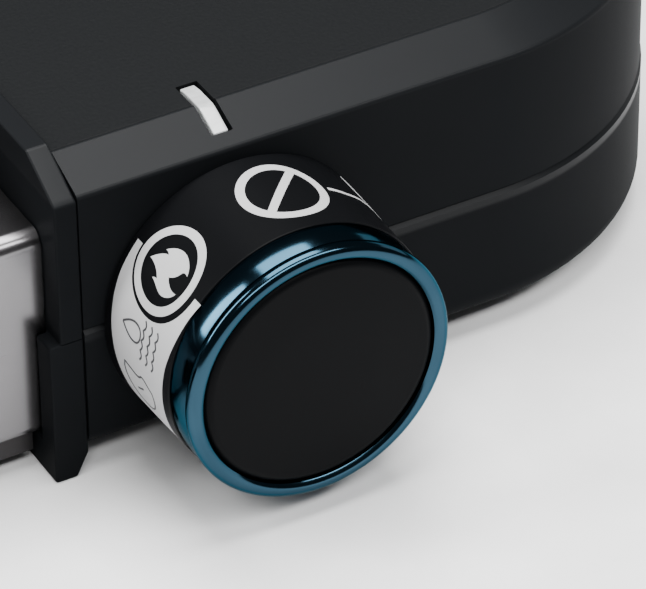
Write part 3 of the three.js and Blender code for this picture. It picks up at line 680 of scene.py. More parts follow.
def placed(bm: BMesh, matrix: Matrix) -> BMesh:
    """Moves a mesh by a matrix, and turns its faces back out where the matrix mirrors it."""
    bmesh.ops.transform(bm, matrix=matrix, verts=bm.verts)
    if matrix.determinant() < 0:
        bmesh.ops.reverse_faces(bm, faces=bm.faces)
    return bm


def as_object(name: str, bm: BMesh) -> Object:
    """Makes an object of a mesh, at the origin."""
    mesh = bpy.data.meshes.new(name)
    bm.to_mesh(mesh)
    bm.free()
    piece = bpy.data.objects.new(name, mesh)
    bpy.context.scene.collection.objects.link(piece)
    return piece


def combine(piece: Object, tools: Iterable[BMesh], operation: str = "DIFFERENCE") -> Object:
    """Cuts tools out of a piece, or joins them to it.

    Args:
        piece: The piece, which gets the new mesh.
        tools: The meshes to cut or join.
        operation: DIFFERENCE or UNION.

    Returns:
        The piece.
    """
    helpers = [as_object("tool", tool) for tool in tools]
    for helper in helpers:
        modifier = piece.modifiers.new("combine", "BOOLEAN")
        modifier.object = helper
        modifier.operation = operation
        modifier.solver = "EXACT"
    bpy.context.view_layer.update()
    finished = piece.evaluated_get(bpy.context.evaluated_depsgraph_get())
    mesh = bpy.data.meshes.new_from_object(finished)
    piece.modifiers.clear()
    piece.data = mesh
    for helper in helpers:
        bpy.data.objects.remove(helper)
    return piece


def soften(piece: Object, radius: float, segments: int, angle: float = 3.0) -> None:
    """Rounds every edge of a piece that turns by more than an angle.

    Args:
        piece: The piece.
        radius: The rounding.
        segments: How many steps it has.
        angle: The least turn, in degrees.
    """
    bm = bmesh.new()
    bm.from_mesh(piece.data)
    bmesh.ops.dissolve_limit(bm, angle_limit=math.radians(1), verts=bm.verts, edges=bm.edges)
    round_edges(bm, [e for e in bm.edges if e.calc_face_angle(0) > math.radians(angle)], radius, segments)
    bm.to_mesh(piece.data)
    bm.free()


def finish(
    piece: Object,
    material: Material,
    body: Body,
    nodes: Sequence[str] = (),
    edge: float = 0.0,
    smooth: float = 35.0,
) -> Object:
    """Gives a piece its material, shading and place in the frame, and logs it.

    Args:
        piece: The piece.
        material: Its finish.
        body: The body it rides on.
        nodes: The CAD nodes it stands for.
        edge: The rounding of every sharp edge, in metres.
        smooth: The angle above which an edge stays sharp, in degrees.

    Returns:
        The piece.
    """
    piece.data.materials.clear()
    piece.data.materials.append(material)
    piece.data.shade_smooth()
    if edge:
        bevel = piece.modifiers.new("edges", "BEVEL")
        bevel.width = edge
        bevel.segments = 3
        bevel.limit_method = "ANGLE"
        bevel.angle_limit = math.radians(smooth)
        bevel.use_clamp_overlap = True
    else:
        piece.data.set_sharp_from_angle(angle=math.radians(smooth))
    weighted = piece.modifiers.new("normals", "WEIGHTED_NORMAL")
    weighted.keep_sharp = True
    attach(piece, body.value)
    if nodes:
        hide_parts(*nodes)
    LOG.info("%s: %d faces, on %s", piece.name, len(piece.data.polygons), body.value)
    return piece


# ---------------------------------------------------------------- camera


@dataclass(frozen=True)
class Viewpoint:
    """The camera: far away with a long lens, above the front left."""

    place: Vector = Vector((-244.76, -901.89, 681.85)) * MM
    heading: float = -29.056
    height: float = 36.449
    roll: float = -0.688
    lens: float = 266.77
    sensor: float = 36
    near: float = 0.01

    def create(self) -> Object:
        """Adds the camera and makes it the scene's own.

        Returns:
            The camera.
        """
        heading, height, roll = (math.radians(a) for a in (self.heading, self.height, self.roll))
        turn = (
            Matrix.Rotation(heading, 4, "Z")
            @ Matrix.Rotation(math.pi / 2 - height, 4, "X")
            @ Matrix.Rotation(roll, 4, "Z")
        )
        data = bpy.data.cameras.new("viewpoint")
        data.lens = self.lens
        data.sensor_width = self.sensor
        data.clip_start = self.near
        camera = bpy.data.objects.new("viewpoint", data)
        camera.matrix_world = Matrix.Translation(self.place) @ turn
        bpy.context.scene.collection.objects.link(camera)
        bpy.context.scene.camera = camera
        return camera


# ---------------------------------------------------------------- end housings


@dataclass
class EndHousing:
    """The shells and grained panel at one end, outwards of a side frame."""

    side: Side
    prefix: str
    finishes: Finishes
    corner: float = 70 * MM
    corner_steps: int = 28
    wall: float = 2.6 * MM
    band_rise: float = 5 * MM
    band_run: float = 12 * MM
    crest: float = 0.8 * MM
    recess: float = 2.8 * MM
    hem: float = 6 * MM
    roof: float = 5.4 * MM
    seam_bevel: float = 0.95 * MM
    seam_gap: float = 0.3 * MM
    past: float = 90 * MM
    wall_round: float = 0.9 * MM
    crest_round: float = 0.28 * MM
    rim_round: float = 0.3 * MM
    panel_round: float = 0.35 * MM
    lower_spare: float = 0.4 * MM

    def __post_init__(self) -> None:
        """Reads the shells' boxes from the frame."""
        self.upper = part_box(f"{self.prefix}_upper")
        self.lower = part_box(f"{self.prefix}_lower")
        self.upper[0].z = self.lower[1].z + self.seam_gap
        self.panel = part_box(f"{self.prefix}_panel")

    def inner(self, box: tuple[Vector, Vector]) -> float:
        """The X of a box's face next to the side frame."""
        return box[0].x if self.side is Side.RIGHT else box[1].x

    def rounded_block(self, box: tuple[Vector, Vector], top: float, corner: float) -> BMesh:
        """A block with round outer corners, in local axes: X outwards from the side frame.

        Args:
            box: The lowest and highest corner of the piece it becomes.
            top: Its height limit.
            corner: The radius of the two outer corners.

        Returns:
            The block, which runs past the side frame.
        """
        width = box[1].x - box[0].x
        bm = block(Vector((-self.past, box[0].y, box[0].z)), Vector((width, box[1].y, top)))
        round_edges(bm, along(level(bm, X, width), Z), corner, self.corner_steps)
        return bm

    def settle(self, name: str, bm: BMesh, box: tuple[Vector, Vector]) -> Object:
        """Trims a block at the side frame and moves it to its end.

        Args:
            name: The piece's name.
            bm: The block.
            box: The box whose inner face it is trimmed to.

        Returns:
            The piece.
        """
        slice_off(bm, Vector((0, 0, 0)), Vector((-1, 0, 0)))
        shift = Matrix.Translation((self.inner(box), 0, 0))
        return as_object(name, placed(bm, shift @ Matrix.Scale(self.side.value, 4, (1, 0, 0))))

    def build_upper(self) -> Object:
        """The upper shell: walls, sloping band, flat crest and the panel's recess."""
        box = self.upper
        wall_top = box[1].z - self.band_rise
        bm = self.rounded_block(box, wall_top, self.corner)
        roof = face_towards(bm, UP)
        bmesh.ops.inset_region(
            bm, faces=[roof], thickness=self.band_run, depth=self.band_rise, use_even_offset=True
        )
        bmesh.ops.inset_region(bm, faces=[roof], thickness=self.crest, use_even_offset=True)
        sink(bm, roof, 0, self.recess)
        floor = face_towards(bm, DOWN)
        sink(bm, floor, self.wall, box[1].z - self.roof - box[0].z)
        bm.verts.index_update()
        round_edges(bm, level(bm, Z, wall_top), self.wall_round, 4)
        round_edges(bm, creases(level(bm, Z, box[1].z)), self.crest_round, 3)
        round_edges(bm, creases(level(bm, Z, box[0].z)), self.rim_round, 2)
        return self.settle(f"{self.prefix}_upper_shell", bm, box)

    def build_lower(self) -> Object:
        """The lower shell: a tray with a rounded hem and a lit edge along the seam."""
        box = self.lower
        bm = self.rounded_block(box, box[1].z, self.corner + self.lower_spare)
        round_edges(bm, level(bm, Z, box[0].z), self.hem, 8)
        sink(bm, face_towards(bm, UP), self.wall, box[1].z - box[0].z - self.wall)
        rim = creases(level(bm, Z, box[1].z))
        outer = [e for e in rim if any(f.normal.z < 0.5 and self.faces_out(f) for f in e.link_faces)]
        round_edges(bm, outer, self.seam_bevel, 1)
        return self.settle(f"{self.prefix}_lower_shell", bm, box)

    @staticmethod
    def faces_out(face: BMFace) -> bool:
        """Whether an upright face looks away from the middle of its shell."""
        middle = face.calc_center_median()
        return face.normal.xy.dot(middle.xy) > 0

    def build_panel(self) -> Object:
        """The grained panel that lies in the recess."""
        box = self.panel
        inset = box[0].y - self.upper[0].y
        bm = self.rounded_block(box, box[1].z, self.corner - inset)
        round_edges(bm, level(bm, Z, box[1].z), self.panel_round, 3)
        return self.settle(f"{self.prefix}_grained_panel", bm, box)

    def cuts(self) -> dict[str, list[BMesh]]:
        """The openings of each shell, by shell."""
        return {"upper": [], "lower": [], "panel": []}

    def build(self) -> None:
        """Builds, cuts and dresses the three pieces."""
        finishes, prefix = self.finishes, self.prefix
        parts = {
            "upper": (self.build_upper, finishes.graphite, "graphite_plastic"),
            "lower": (self.build_lower, finishes.graphite_lower, "graphite_plastic"),
            "panel": (self.build_panel, finishes.grained, "grained_plastic"),
        }
        cuts = self.cuts()
        for part, (make, material, slot) in parts.items():
            piece = make()
            if cuts[part]:
                combine(piece, cuts[part])
            finish(piece, material, Body.BASE, [f"{prefix}_{part}"])


@dataclass
class ControlHousing(EndHousing):
    """The right-hand housing, with the light guide over the knob."""

    play_left: float = 0.75 * MM
    play: float = 0.35 * MM
    neck: float = 5.4 * MM
    sunk: float = 0.35 * MM
    slot_corner: float = 0.3 * MM
    guide_thickness: float = 2.4 * MM
    leg_near: float = 9.6 * MM
    leg_far: float = 13.6 * MM

    def __post_init__(self) -> None:
        """Reads the light guide's and the switch's boxes too."""
        super().__post_init__()
        self.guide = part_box("light_pipe")
        self.axis = (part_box("knob_shaft")[0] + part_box("knob_shaft")[1]) / 2

    def slot_block(self) -> BMesh:
        """The slot that the light guide lies in."""
        low, high = self.guide
        margin = Vector((self.play, self.play, 0))
        corner = low - Vector((self.play_left, self.play, 0))
        bm = block(corner, Vector((*(high + 2 * margin).xy, high.z + self.recess)))
        round_edges(bm, along(bm.edges, Z), self.slot_corner, 3)
        return bm

    def neck_hole(self) -> BMesh:
        """The round hole behind the knob."""
        bm = bmesh.new()
        bmesh.ops.create_cone(
            bm, cap_ends=True, segments=48, radius1=self.neck, radius2=self.neck, depth=4 * self.wall
        )
        place = Vector((self.axis.x, self.upper[0].y, self.axis.z))
        return placed(bm, Matrix.Translation(place) @ Matrix.Rotation(math.pi / 2, 4, "X"))

    def cuts(self) -> dict[str, list[BMesh]]:
        """The light guide's slot and the knob's hole."""
        return {
            "upper": [self.slot_block(), self.neck_hole()],
            "lower": [self.neck_hole()],
            "panel": [self.slot_block()],
        }

    def build_guide(self) -> None:
        """The light guide: a bent clear bar with a leg down to the lamp."""
        low, high = self.guide
        slope = self.band_rise / self.band_run
        bend = self.upper[0].y + self.band_run
        thick = self.guide_thickness
        leg = (low.y + self.leg_near, low.y + self.leg_far)
        front = high.z - slope * (bend - low.y)
        outline = fillet(
            [
                (low.y, front - self.sunk, 0.3 * MM),
                (bend - MM, high.z - self.sunk, 5 * MM),
                (high.y - 3 * MM, high.z - self.sunk, 6 * MM),
                (high.y, high.z - 2.2 * self.sunk, 0.5 * MM),
                (high.y, high.z - thick, 0.3 * MM),
                (leg[1], high.z - thick, 0),
                (leg[1], low.z, 0),
                (leg[0], low.z, 0),
                (leg[0], high.z - thick, 0),
                (bend, high.z - thick, 0),
                (low.y, front - thick, 0.3 * MM),
            ],
            4,
            closed=True,
        )
        piece = as_object("light_guide", extruded(outline, low.x, high.x - self.sunk))
        finish(piece, self.finishes.clear, Body.BASE, ["light_pipe"], edge=0.4 * MM)


# ---------------------------------------------------------------- side frames


@dataclass
class SideFrame:
    """The cheek between a housing and the base, which stands on the table."""

    side: Side
    node: str
    finishes: Finishes
    shoulder: float = 75.6 * MM
    lean: float = 13.2 * MM
    runner: float = 5.5 * MM
    slope: float = 6 * MM
    thickness: float = 5.65 * MM
    foot_height: float = 38.3 * MM
    foot_depth: float = 6.75 * MM
    under: float = 9.2 * MM
    edge: float = 0.6 * MM
    seam: float = 38.2 * MM
    seam_width: float = 0.3 * MM
    seam_depth: float = 0.25 * MM

    def build(self) -> Object:
        """Builds the frame.

        Returns:
            The piece.
        """
        low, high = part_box(self.node)
        bm = block(low, high)
        rise = high.z - self.shoulder
        for y, sign in ((low.y, -1), (high.y, 1)):
            slice_off(bm, Vector((0, y, self.shoulder)), Vector((0, sign * rise, self.lean)))
        outer = high.x if self.side is Side.RIGHT else low.x
        out = self.side.value
        width = (high.x - low.x) - self.runner
        slice_off(bm, Vector((outer, 0, self.slope)), Vector((out * self.slope, 0, -width)))
        piece = as_object(self.node.replace("side_frame", "side_cheek"), bm)
        inner = outer - out * self.thickness
        past = outer - out * 3 * self.thickness
        sides = (min(inner, past), max(inner, past))
        combine(
            piece,
            [
                block(
                    Vector((sides[0], low.y + self.foot_depth, self.under)),
                    Vector((sides[1], high.y - self.foot_depth, high.z + MM)),
                ),
                block(
                    Vector((sides[0], low.y - MM, self.foot_height)),
                    Vector((sides[1], high.y + MM, high.z + MM)),
                ),
            ],
        )
        soften(piece, self.edge, 3)
        grooves = [
            block(
                Vector((low.x - self.edge, y - self.seam_depth, self.seam)),
                Vector((high.x + self.edge, y + self.seam_depth, self.seam + self.seam_width)),
            )
            for y in (low.y, high.y)
        ]
        combine(piece, grooves)
        return finish(piece, self.finishes.graphite, Body.BASE, [self.node])


# ---------------------------------------------------------------- knob


@dataclass
class Knob:
    """The control knob: barrel, ring, cap and its printed marks.

    Its pieces are made about Z, with Z = 0 at the housing wall, and then turned to face the user.
    """

    finishes: Finishes
    radius: float = 33 * MM
    flange: float = 33.8 * MM
    barrel_front: float = 30.2 * MM
    length: float = 40.5 * MM
    bore: float = 29.6 * MM
    cap: float = 29.2 * MM
    crown: float = 40.45 * MM
    dome: float = 0.55 * MM
    shoulder: float = 2.4 * MM
    hub: float = 8 * MM
    rear: float = 1 * MM
    wall: float = 2.4 * MM
    shaft: float = 3.3 * MM
    web: float = 22.3 * MM
    hub_rear: float = 6 * MM
    gap: float = 0.3 * MM
    bead: float = 2.1 * MM
    steps: int = 144

    def __post_init__(self) -> None:
        """Finds the knob's axis and the wall it stands on."""
        low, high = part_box("knob_cap")
        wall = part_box("housing_upper")[0].y
        self.centre = Vector(((low.x + high.x) / 2, wall, (low.z + high.z) / 2))
        self.matrix = Matrix.Translation(self.centre) @ Matrix.Rotation(math.pi / 2, 4, "X")

    def turned(self, name: str, profile: Outline) -> Object:
        """A turned piece of the knob, in place."""
        return as_object(name, placed(spun(profile, self.steps), self.matrix))

    def build_barrel(self) -> None:
        """The barrel: a side that widens a little to the wall, and a hub for the shaft."""
        inner = self.radius - self.wall
        profile = fillet(
            [
                (0, self.web, 0),
                (self.shaft, self.web, 0),
                (self.shaft, self.hub_rear, 0),
                (self.hub, self.hub_rear, 0.4 * MM),
                (self.hub, self.web + self.wall, 1 * MM),
                (inner, self.web + self.wall, 1.2 * MM),
                (inner, self.rear, 0.3 * MM),
                (self.flange, self.rear, 0.35 * MM),
                (self.radius, self.barrel_front, 0.3 * MM),
                (0, self.barrel_front, 0),
            ],
            4,
        )
        piece = self.turned("knob_barrel_shell", profile)
        finish(piece, self.finishes.barrel, Body.KNOB, ["knob_barrel"])

    def build_ring(self) -> None:
        """The chrome ring: a polished side, a fine groove and a rolled lip."""
        rear = self.barrel_front + self.gap
        bead = self.bead
        middle = self.length - bead
        lip = [
            (self.radius - bead + bead * math.cos(a), middle + bead * math.sin(a))
            for a in (math.radians(-60 + 12 * i) for i in range(18))
        ]
        profile = [
            *fillet(
                [
                    (self.bore, self.length - 1.6 * MM, 0),
                    (self.bore, rear, 0.2 * MM),
                    (self.radius - 0.3 * MM, rear, 0.4 * MM),
                    (self.radius + 0.1 * MM, rear + 3 * MM, 16 * MM),
                    (self.radius - 0.9 * MM, middle - 1.9 * MM, 0.5 * MM),
                ],
                4,
            ),
            *lip,
            (self.bore, self.length - 1.6 * MM),
        ]
        piece = self.turned("knob_trim_ring", profile)
        finish(piece, self.finishes.chrome, Body.KNOB, ["knob_ring"], smooth=50)

    def build_cap(self) -> None:
        """The soft cap: a round shoulder and a very shallow dome."""
        rear = self.barrel_front + self.gap
        profile = fillet(
            [
                (0, rear, 0),
                (self.cap, rear, 0.2 * MM),
                (self.cap, self.crown - self.dome, self.shoulder),
                (self.cap * 0.5, self.crown - self.dome / 4, 90 * MM),
                (0, self.crown, 0),
            ],
            10,
        )
        piece = self.turned("knob_soft_cap", profile)
        finish(piece, self.finishes.soft_black, Body.KNOB, ["knob_cap"])

    def build(self) -> None:
        """Builds the knob's pieces and its printed marks."""
        self.build_barrel()
        self.build_ring()
        self.build_cap()
        taper = (self.flange - self.radius) / (self.barrel_front - self.rear)
        KnobPrint(self.finishes, self.radius, self.matrix, self.barrel_front, taper).build()


@dataclass
class KnobPrint:
    """The marks on the knob's barrel.

    They are drawn flat, as (along, out) points: along the barrel's circumference from its top,
    clockwise as the user sees it, and outwards from the housing wall. Then they are wrapped.
    """

    finishes: Finishes
    radius: float
    matrix: Matrix
    front: float
    taper: float
    ink: float = 0.05 * MM
    strip: float = 1.2 * MM
    ring_outer: float = 10.5 * MM
    ring_inner: float = 8.35 * MM
    middle: float = 15.75 * MM
    off_place: float = 4.2 * MM
    heat_place: float = -27.8 * MM
    line: float = 0.5 * MM

    def along(self, degrees: float) -> float:
        """The length along the circumference for an angle from the top."""
        return math.radians(degrees) * self.radius

    def flat_ring(self, place: float) -> BMesh:
        """A flat ring about a place along the barrel."""
        bm = bmesh.new()
        centre = Matrix.Translation((place, self.middle, 0))
        for radius in (self.ring_inner, self.ring_outer):
            bmesh.ops.create_circle(bm, segments=64, radius=radius, matrix=centre)
        bmesh.ops.bridge_loops(bm, edges=bm.edges)
        return bm

    def flat_shape(self, outline: Outline) -> BMesh:
        """A flat filled outline."""
        bm = bmesh.new()
        bm.faces.new([bm.verts.new((x, y, 0)) for x, y in outline])
        bm.normal_update()
        bmesh.ops.triangulate(bm, faces=bm.faces, ngon_method="EAR_CLIP")
        return bm

    def ribbon(self, path: Sequence[tuple[float, float, float]]) -> BMesh:
        """A flat line.

        Args:
            path: Each point's two coordinates and the line's width there.

        Returns:
            A strip of faces.
        """
        bm = bmesh.new()
        points = [Vector(point[:2]) for point in path]
        ends = zip([points[0], *points], [*points[1:], points[-1]])
        sides = []
        for (before, after), point, (_, _, width) in zip(ends, points, path):
            across = (after - before).normalized().orthogonal() * width / 2
            sides.append((point + across, point - across))
        edge = bm.edges.new([bm.verts.new((*side, 0)) for side in sides[0]])
        for left, right in sides[1:]:
            grown = bmesh.ops.extrude_edge_only(bm, edges=[edge])["geom"]
            edge = next(item for item in grown if isinstance(item, BMEdge))
            for vert, side in zip(edge.verts, (left, right)):
                vert.co = (*side, 0)
        return bm

    def wrapped(self, name: str, bm: BMesh, material: Material, layer: int = 0) -> None:
        """Thickens a flat shape, wraps it on the barrel and finishes it.

        Args:
            name: The piece's name.
            bm: The flat shape.
            material: Its ink.
            layer: How many inks lie under it.
        """
        low = min(v.co.x for v in bm.verts)
        high = max(v.co.x for v in bm.verts)
        for i in range(1, math.ceil((high - low) / self.strip)):
            split(bm, Vector((low + i * self.strip, 0, 0)), Vector((1, 0, 0)))
        raised = bmesh.ops.extrude_face_region(bm, geom=bm.faces[:], use_keep_orig=True)["geom"]
        top = {v for v in raised if isinstance(v, bmesh.types.BMVert)}
        base = self.radius + (0.1 + layer) * self.ink
        for vert in bm.verts:
            reach = base + (self.ink if vert in top else 0) + self.taper * (self.front - vert.co.y)
            turn = vert.co.x / self.radius
            vert.co = (reach * math.sin(turn), reach * math.cos(turn), vert.co.y)
        bmesh.ops.recalc_face_normals(bm, faces=bm.faces)
        finish(as_object(name, placed(bm, self.matrix)), material, Body.KNOB, smooth=60)

    def build_off(self) -> None:
        """The off mark: a ring with a bar across it."""
        self.wrapped("print_off_ring", self.flat_ring(self.off_place), self.finishes.print_pale)
        bar = self.ribbon([(10.0 * MM, 8.8 * MM, 2 * MM), (-2.9 * MM, 22.9 * MM, 2 * MM)])
        self.wrapped("print_off_bar", bar, self.finishes.print_pale)

    def flame(self) -> Outline:
        """A flame with three tongues that point to the housing wall and a hollow below."""
        knots = [
            ((-0.75, -6.75), (0.6, -5.6), (2.2, -4.0), (2.51, -2.36)),
            ((2.51, -2.36), (2.9, -2.9), (3.0, -3.4), (2.94, -4.05)),
            ((2.94, -4.05), (4.5, -2.6), (5.4, -0.9), (5.42, 1.12)),
            ((5.42, 1.12), (5.4, 3.2), (3.9, 5.6), (2.09, 6.3)),
            ((2.09, 6.3), (2.4, 5.5), (2.3, 4.9), (1.91, 4.48)),
            ((1.91, 4.48), (0.8, 4.1), (-0.5, 3.2), (-0.98, 1.69)),
            ((-0.98, 1.69), (-2.2, 2.8), (-3.1, 4.8), (-2.55, 6.54)),
            ((-2.55, 6.54), (-4.1, 5.8), (-5.2, 4.2), (-5.26, 2.33)),
            ((-5.26, 2.33), (-5.2, 0.6), (-4.0, -0.9), (-3.65, -2.77)),
            ((-3.65, -2.77), (-3.3, -2.3), (-3.15, -1.8), (-3.2, -1.18)),
            ((-3.2, -1.18), (-2.0, -2.2), (-0.9, -4.2), (-0.75, -6.75)),
        ]
        return self.curved(knots, self.heat_place, self.middle)

    def curved(self, knots: Sequence[Sequence[tuple[float, float]]], place: float, out: float) -> Outline:
        """The points of a chain of curves.

        Args:
            knots: Each curve's start, two handles and end, in millimetres.
            place: The length along the barrel that the knots are measured from.
            out: The distance from the wall that they are measured from.

        Returns:
            The outline.
        """
        outline = []
        for knot in knots:
            points = interpolate_bezier(*(Vector((x, y)) * MM for x, y in knot), 8)
            outline += [(place + point.x, out + point.y) for point in points[:-1]]
        return outline

    def build_heat(self) -> None:
        """The heat mark: a flame in a ring."""
        self.wrapped("print_heat_ring", self.flat_ring(self.heat_place), self.finishes.print_pale)
        self.wrapped("print_flame", self.flat_shape(self.flame()), self.finishes.print_pale)

    def scale_outline(self) -> Outline:
        """The outline of the tapering scale, with a hollow end beside the heat mark."""
        rear = [(-62, 2.7), (-72, 3.3), (-83, 4.2), (-92, 5.0), (-120, 7.2), (-150, 9.2), (-180, 11.0)]
        rear += [(-220, 13.3), (-260, 15.4), (-290, 16.9), (-297, 17.7)]
        front = [(-297, 18.3), (-290, 18.6), (-260, 19.6), (-220, 20.8), (-180, 22.0), (-150, 23.6)]
        front += [(-120, 25.4), (-96, 26.9), (-80, 27.9), (-66, 29.2), (-55, 30.0)]
        start = self.heat_place
        centre, reach = 16.3 * MM, 11.75 * MM
        hollow = [
            (start - reach * math.cos(a), centre + reach * math.sin(a))
            for a in (math.radians(90 - 7.5 * i) for i in range(25))
        ]
        edges = [(self.along(angle), out * MM) for angle, out in rear + front]
        return [(start, 2.5 * MM), *edges, (start, 30.7 * MM), *hollow]

    def build_scale(self) -> None:
        """The scale and the two strands that it ends in."""
        pale = self.finishes.print_pale
        self.wrapped("print_scale", self.flat_shape(self.scale_outline()), pale)
        strands = {
            "print_strand_front": [
                (-296.5, 17.2, 0.6), (-304, 15.4, 0.8), (-313, 14.9, 0.9), (-322, 15.9, 0.9),
                (-332, 15.7, 1.1),
            ],
            "print_strand_rear": [
                (-296.5, 17.2, 0.8), (-301, 13.6, 2.0), (-304, 10.4, 2.9), (-307, 6.8, 2.4), (-310, 3.2, 0.3)
            ],
        }
        for name, path in strands.items():
            flat = self.ribbon([(self.along(angle), out * MM, width * MM) for angle, out, width in path])
            self.wrapped(name, flat, pale)

    def build_pictures(self) -> None:
        """Small outlines on the scale: a drop, waves and a slice."""
        place = self.along(-78)
        drop = [
            ((0, -3.9), (1.3, -2.2), (2.4, -0.6), (2.3, 1.4)),
            ((2.3, 1.4), (2.2, 3.0), (1.2, 3.8), (0, 3.8)),
            ((0, 3.8), (-1.2, 3.8), (-2.2, 3.0), (-2.3, 1.4)),
            ((-2.3, 1.4), (-2.4, -0.6), (-1.3, -2.2), (0, -3.9)),
        ]
        slice_edge = [
            ((0.9, -5.6), (0.3, -1.9), (-0.9, 0.4), (0.8, 1.6)),
            ((0.8, 1.6), (1.4, 3.0), (-0.4, 4.2), (-1.2, 6.0)),
            ((-1.2, 6.0), (-4.0, 7.2), (-8.6, 5.0), (-8.8, 0.6)),
            ((-8.8, 0.6), (-8.9, -4.4), (-3.0, -7.4), (0.9, -5.6)),
        ]
        fold = [((-4.4, -1.4), (-3.6, 0.2), (-3.4, 1.0), (-2.6, 2.1))]
        outlines = {
            "print_drop": self.curved(drop, place, 12.8 * MM),
            "print_slice": self.curved(slice_edge, self.along(-97), 15.6 * MM),
            "print_slice_fold": self.curved(fold, self.along(-97), 15.6 * MM),
        }
        for name in ("print_drop", "print_slice"):
            outlines[name].append(outlines[name][0])
        for i in range(3):
            outlines[f"print_wave_{i + 1}"] = self.wave(place, 17.2 + 2.6 * i)
        for name, points in outlines.items():
            flat = self.ribbon([(x, y, self.line) for x, y in points])
            self.wrapped(name, flat, self.finishes.print_dark, 1)

    def wave(self, place: float, out: float, start: float = 4.7, height: float = 0.75) -> Outline:
        """A row of four scallops along the barrel.

        Args:
            place: The length along the barrel that it is measured from.
            out: Its distance from the wall, in millimetres.
            start: Where it starts, in millimetres.
            height: The height of a scallop, in millimetres.

        Returns:
            The points of the line.
        """
        return [
            (place + (start - k / 4) * MM, (out + height * abs(math.sin(k * math.pi / 10))) * MM)
            for k in range(41)
        ]

    def build(self) -> None:
        """Builds every mark."""
        self.build_off()
        self.build_heat()
        self.build_scale()
        self.build_pictures()


# ---------------------------------------------------------------- base, plate and tray


@dataclass
class Base:
    """The stainless base between the side frames."""

    finishes: Finishes
    fillet: float = 4 * MM
    hem: float = 3 * MM
    sheet: float = 1.2 * MM
    play: float = 1 * MM
    lip: float = 21 * MM
    ear: float = 9 * MM

    def build(self) -> None:
        """Builds the base shell and cuts its openings."""
        low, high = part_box("base_shell")
        bm = block(low, high)
        lengthwise = along(bm.edges, X)
        top = [e for e in lengthwise if e.verts[0].co.z > high.z - self.play]
        foot = [e for e in lengthwise if e.verts[0].co.z < low.z + self.play]
        round_edges(bm, top, self.fillet, 8)
        round_edges(bm, [e for e in foot if e.is_valid], self.hem, 5)
        bmesh.ops.delete(bm, geom=[face_towards(bm, DOWN)], context="FACES_ONLY")
        piece = as_object("base_deck", bm)
        skin = piece.modifiers.new("skin", "SOLIDIFY")
        skin.thickness = self.sheet
        skin.offset = -1
        skin.use_even_offset = True
        plate_low, plate_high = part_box("griddle_plate")
        inset = Vector((self.lip + self.ear, self.lip, 0))
        opening = block(
            Vector((*(plate_low + inset).xy, high.z - 3 * self.sheet)),
            Vector((*(plate_high - inset).xy, high.z + self.sheet)),
        )
        tray_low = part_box("drip_tray")[0]
        tray_high = Vector((*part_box("drip_tray")[1].xy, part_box("tray_wall_left")[1].z))
        margin = Vector((self.play, 0, self.play))
        slot = block(
            Vector((tray_low.x, low.y - self.sheet, tray_low.z)) - margin,
            Vector((tray_high.x, low.y + 3 * self.sheet, tray_high.z)) + margin,
        )
        combine(piece, [opening, slot])
        finish(piece, self.finishes.stainless, Body.BASE, ["base_shell"])


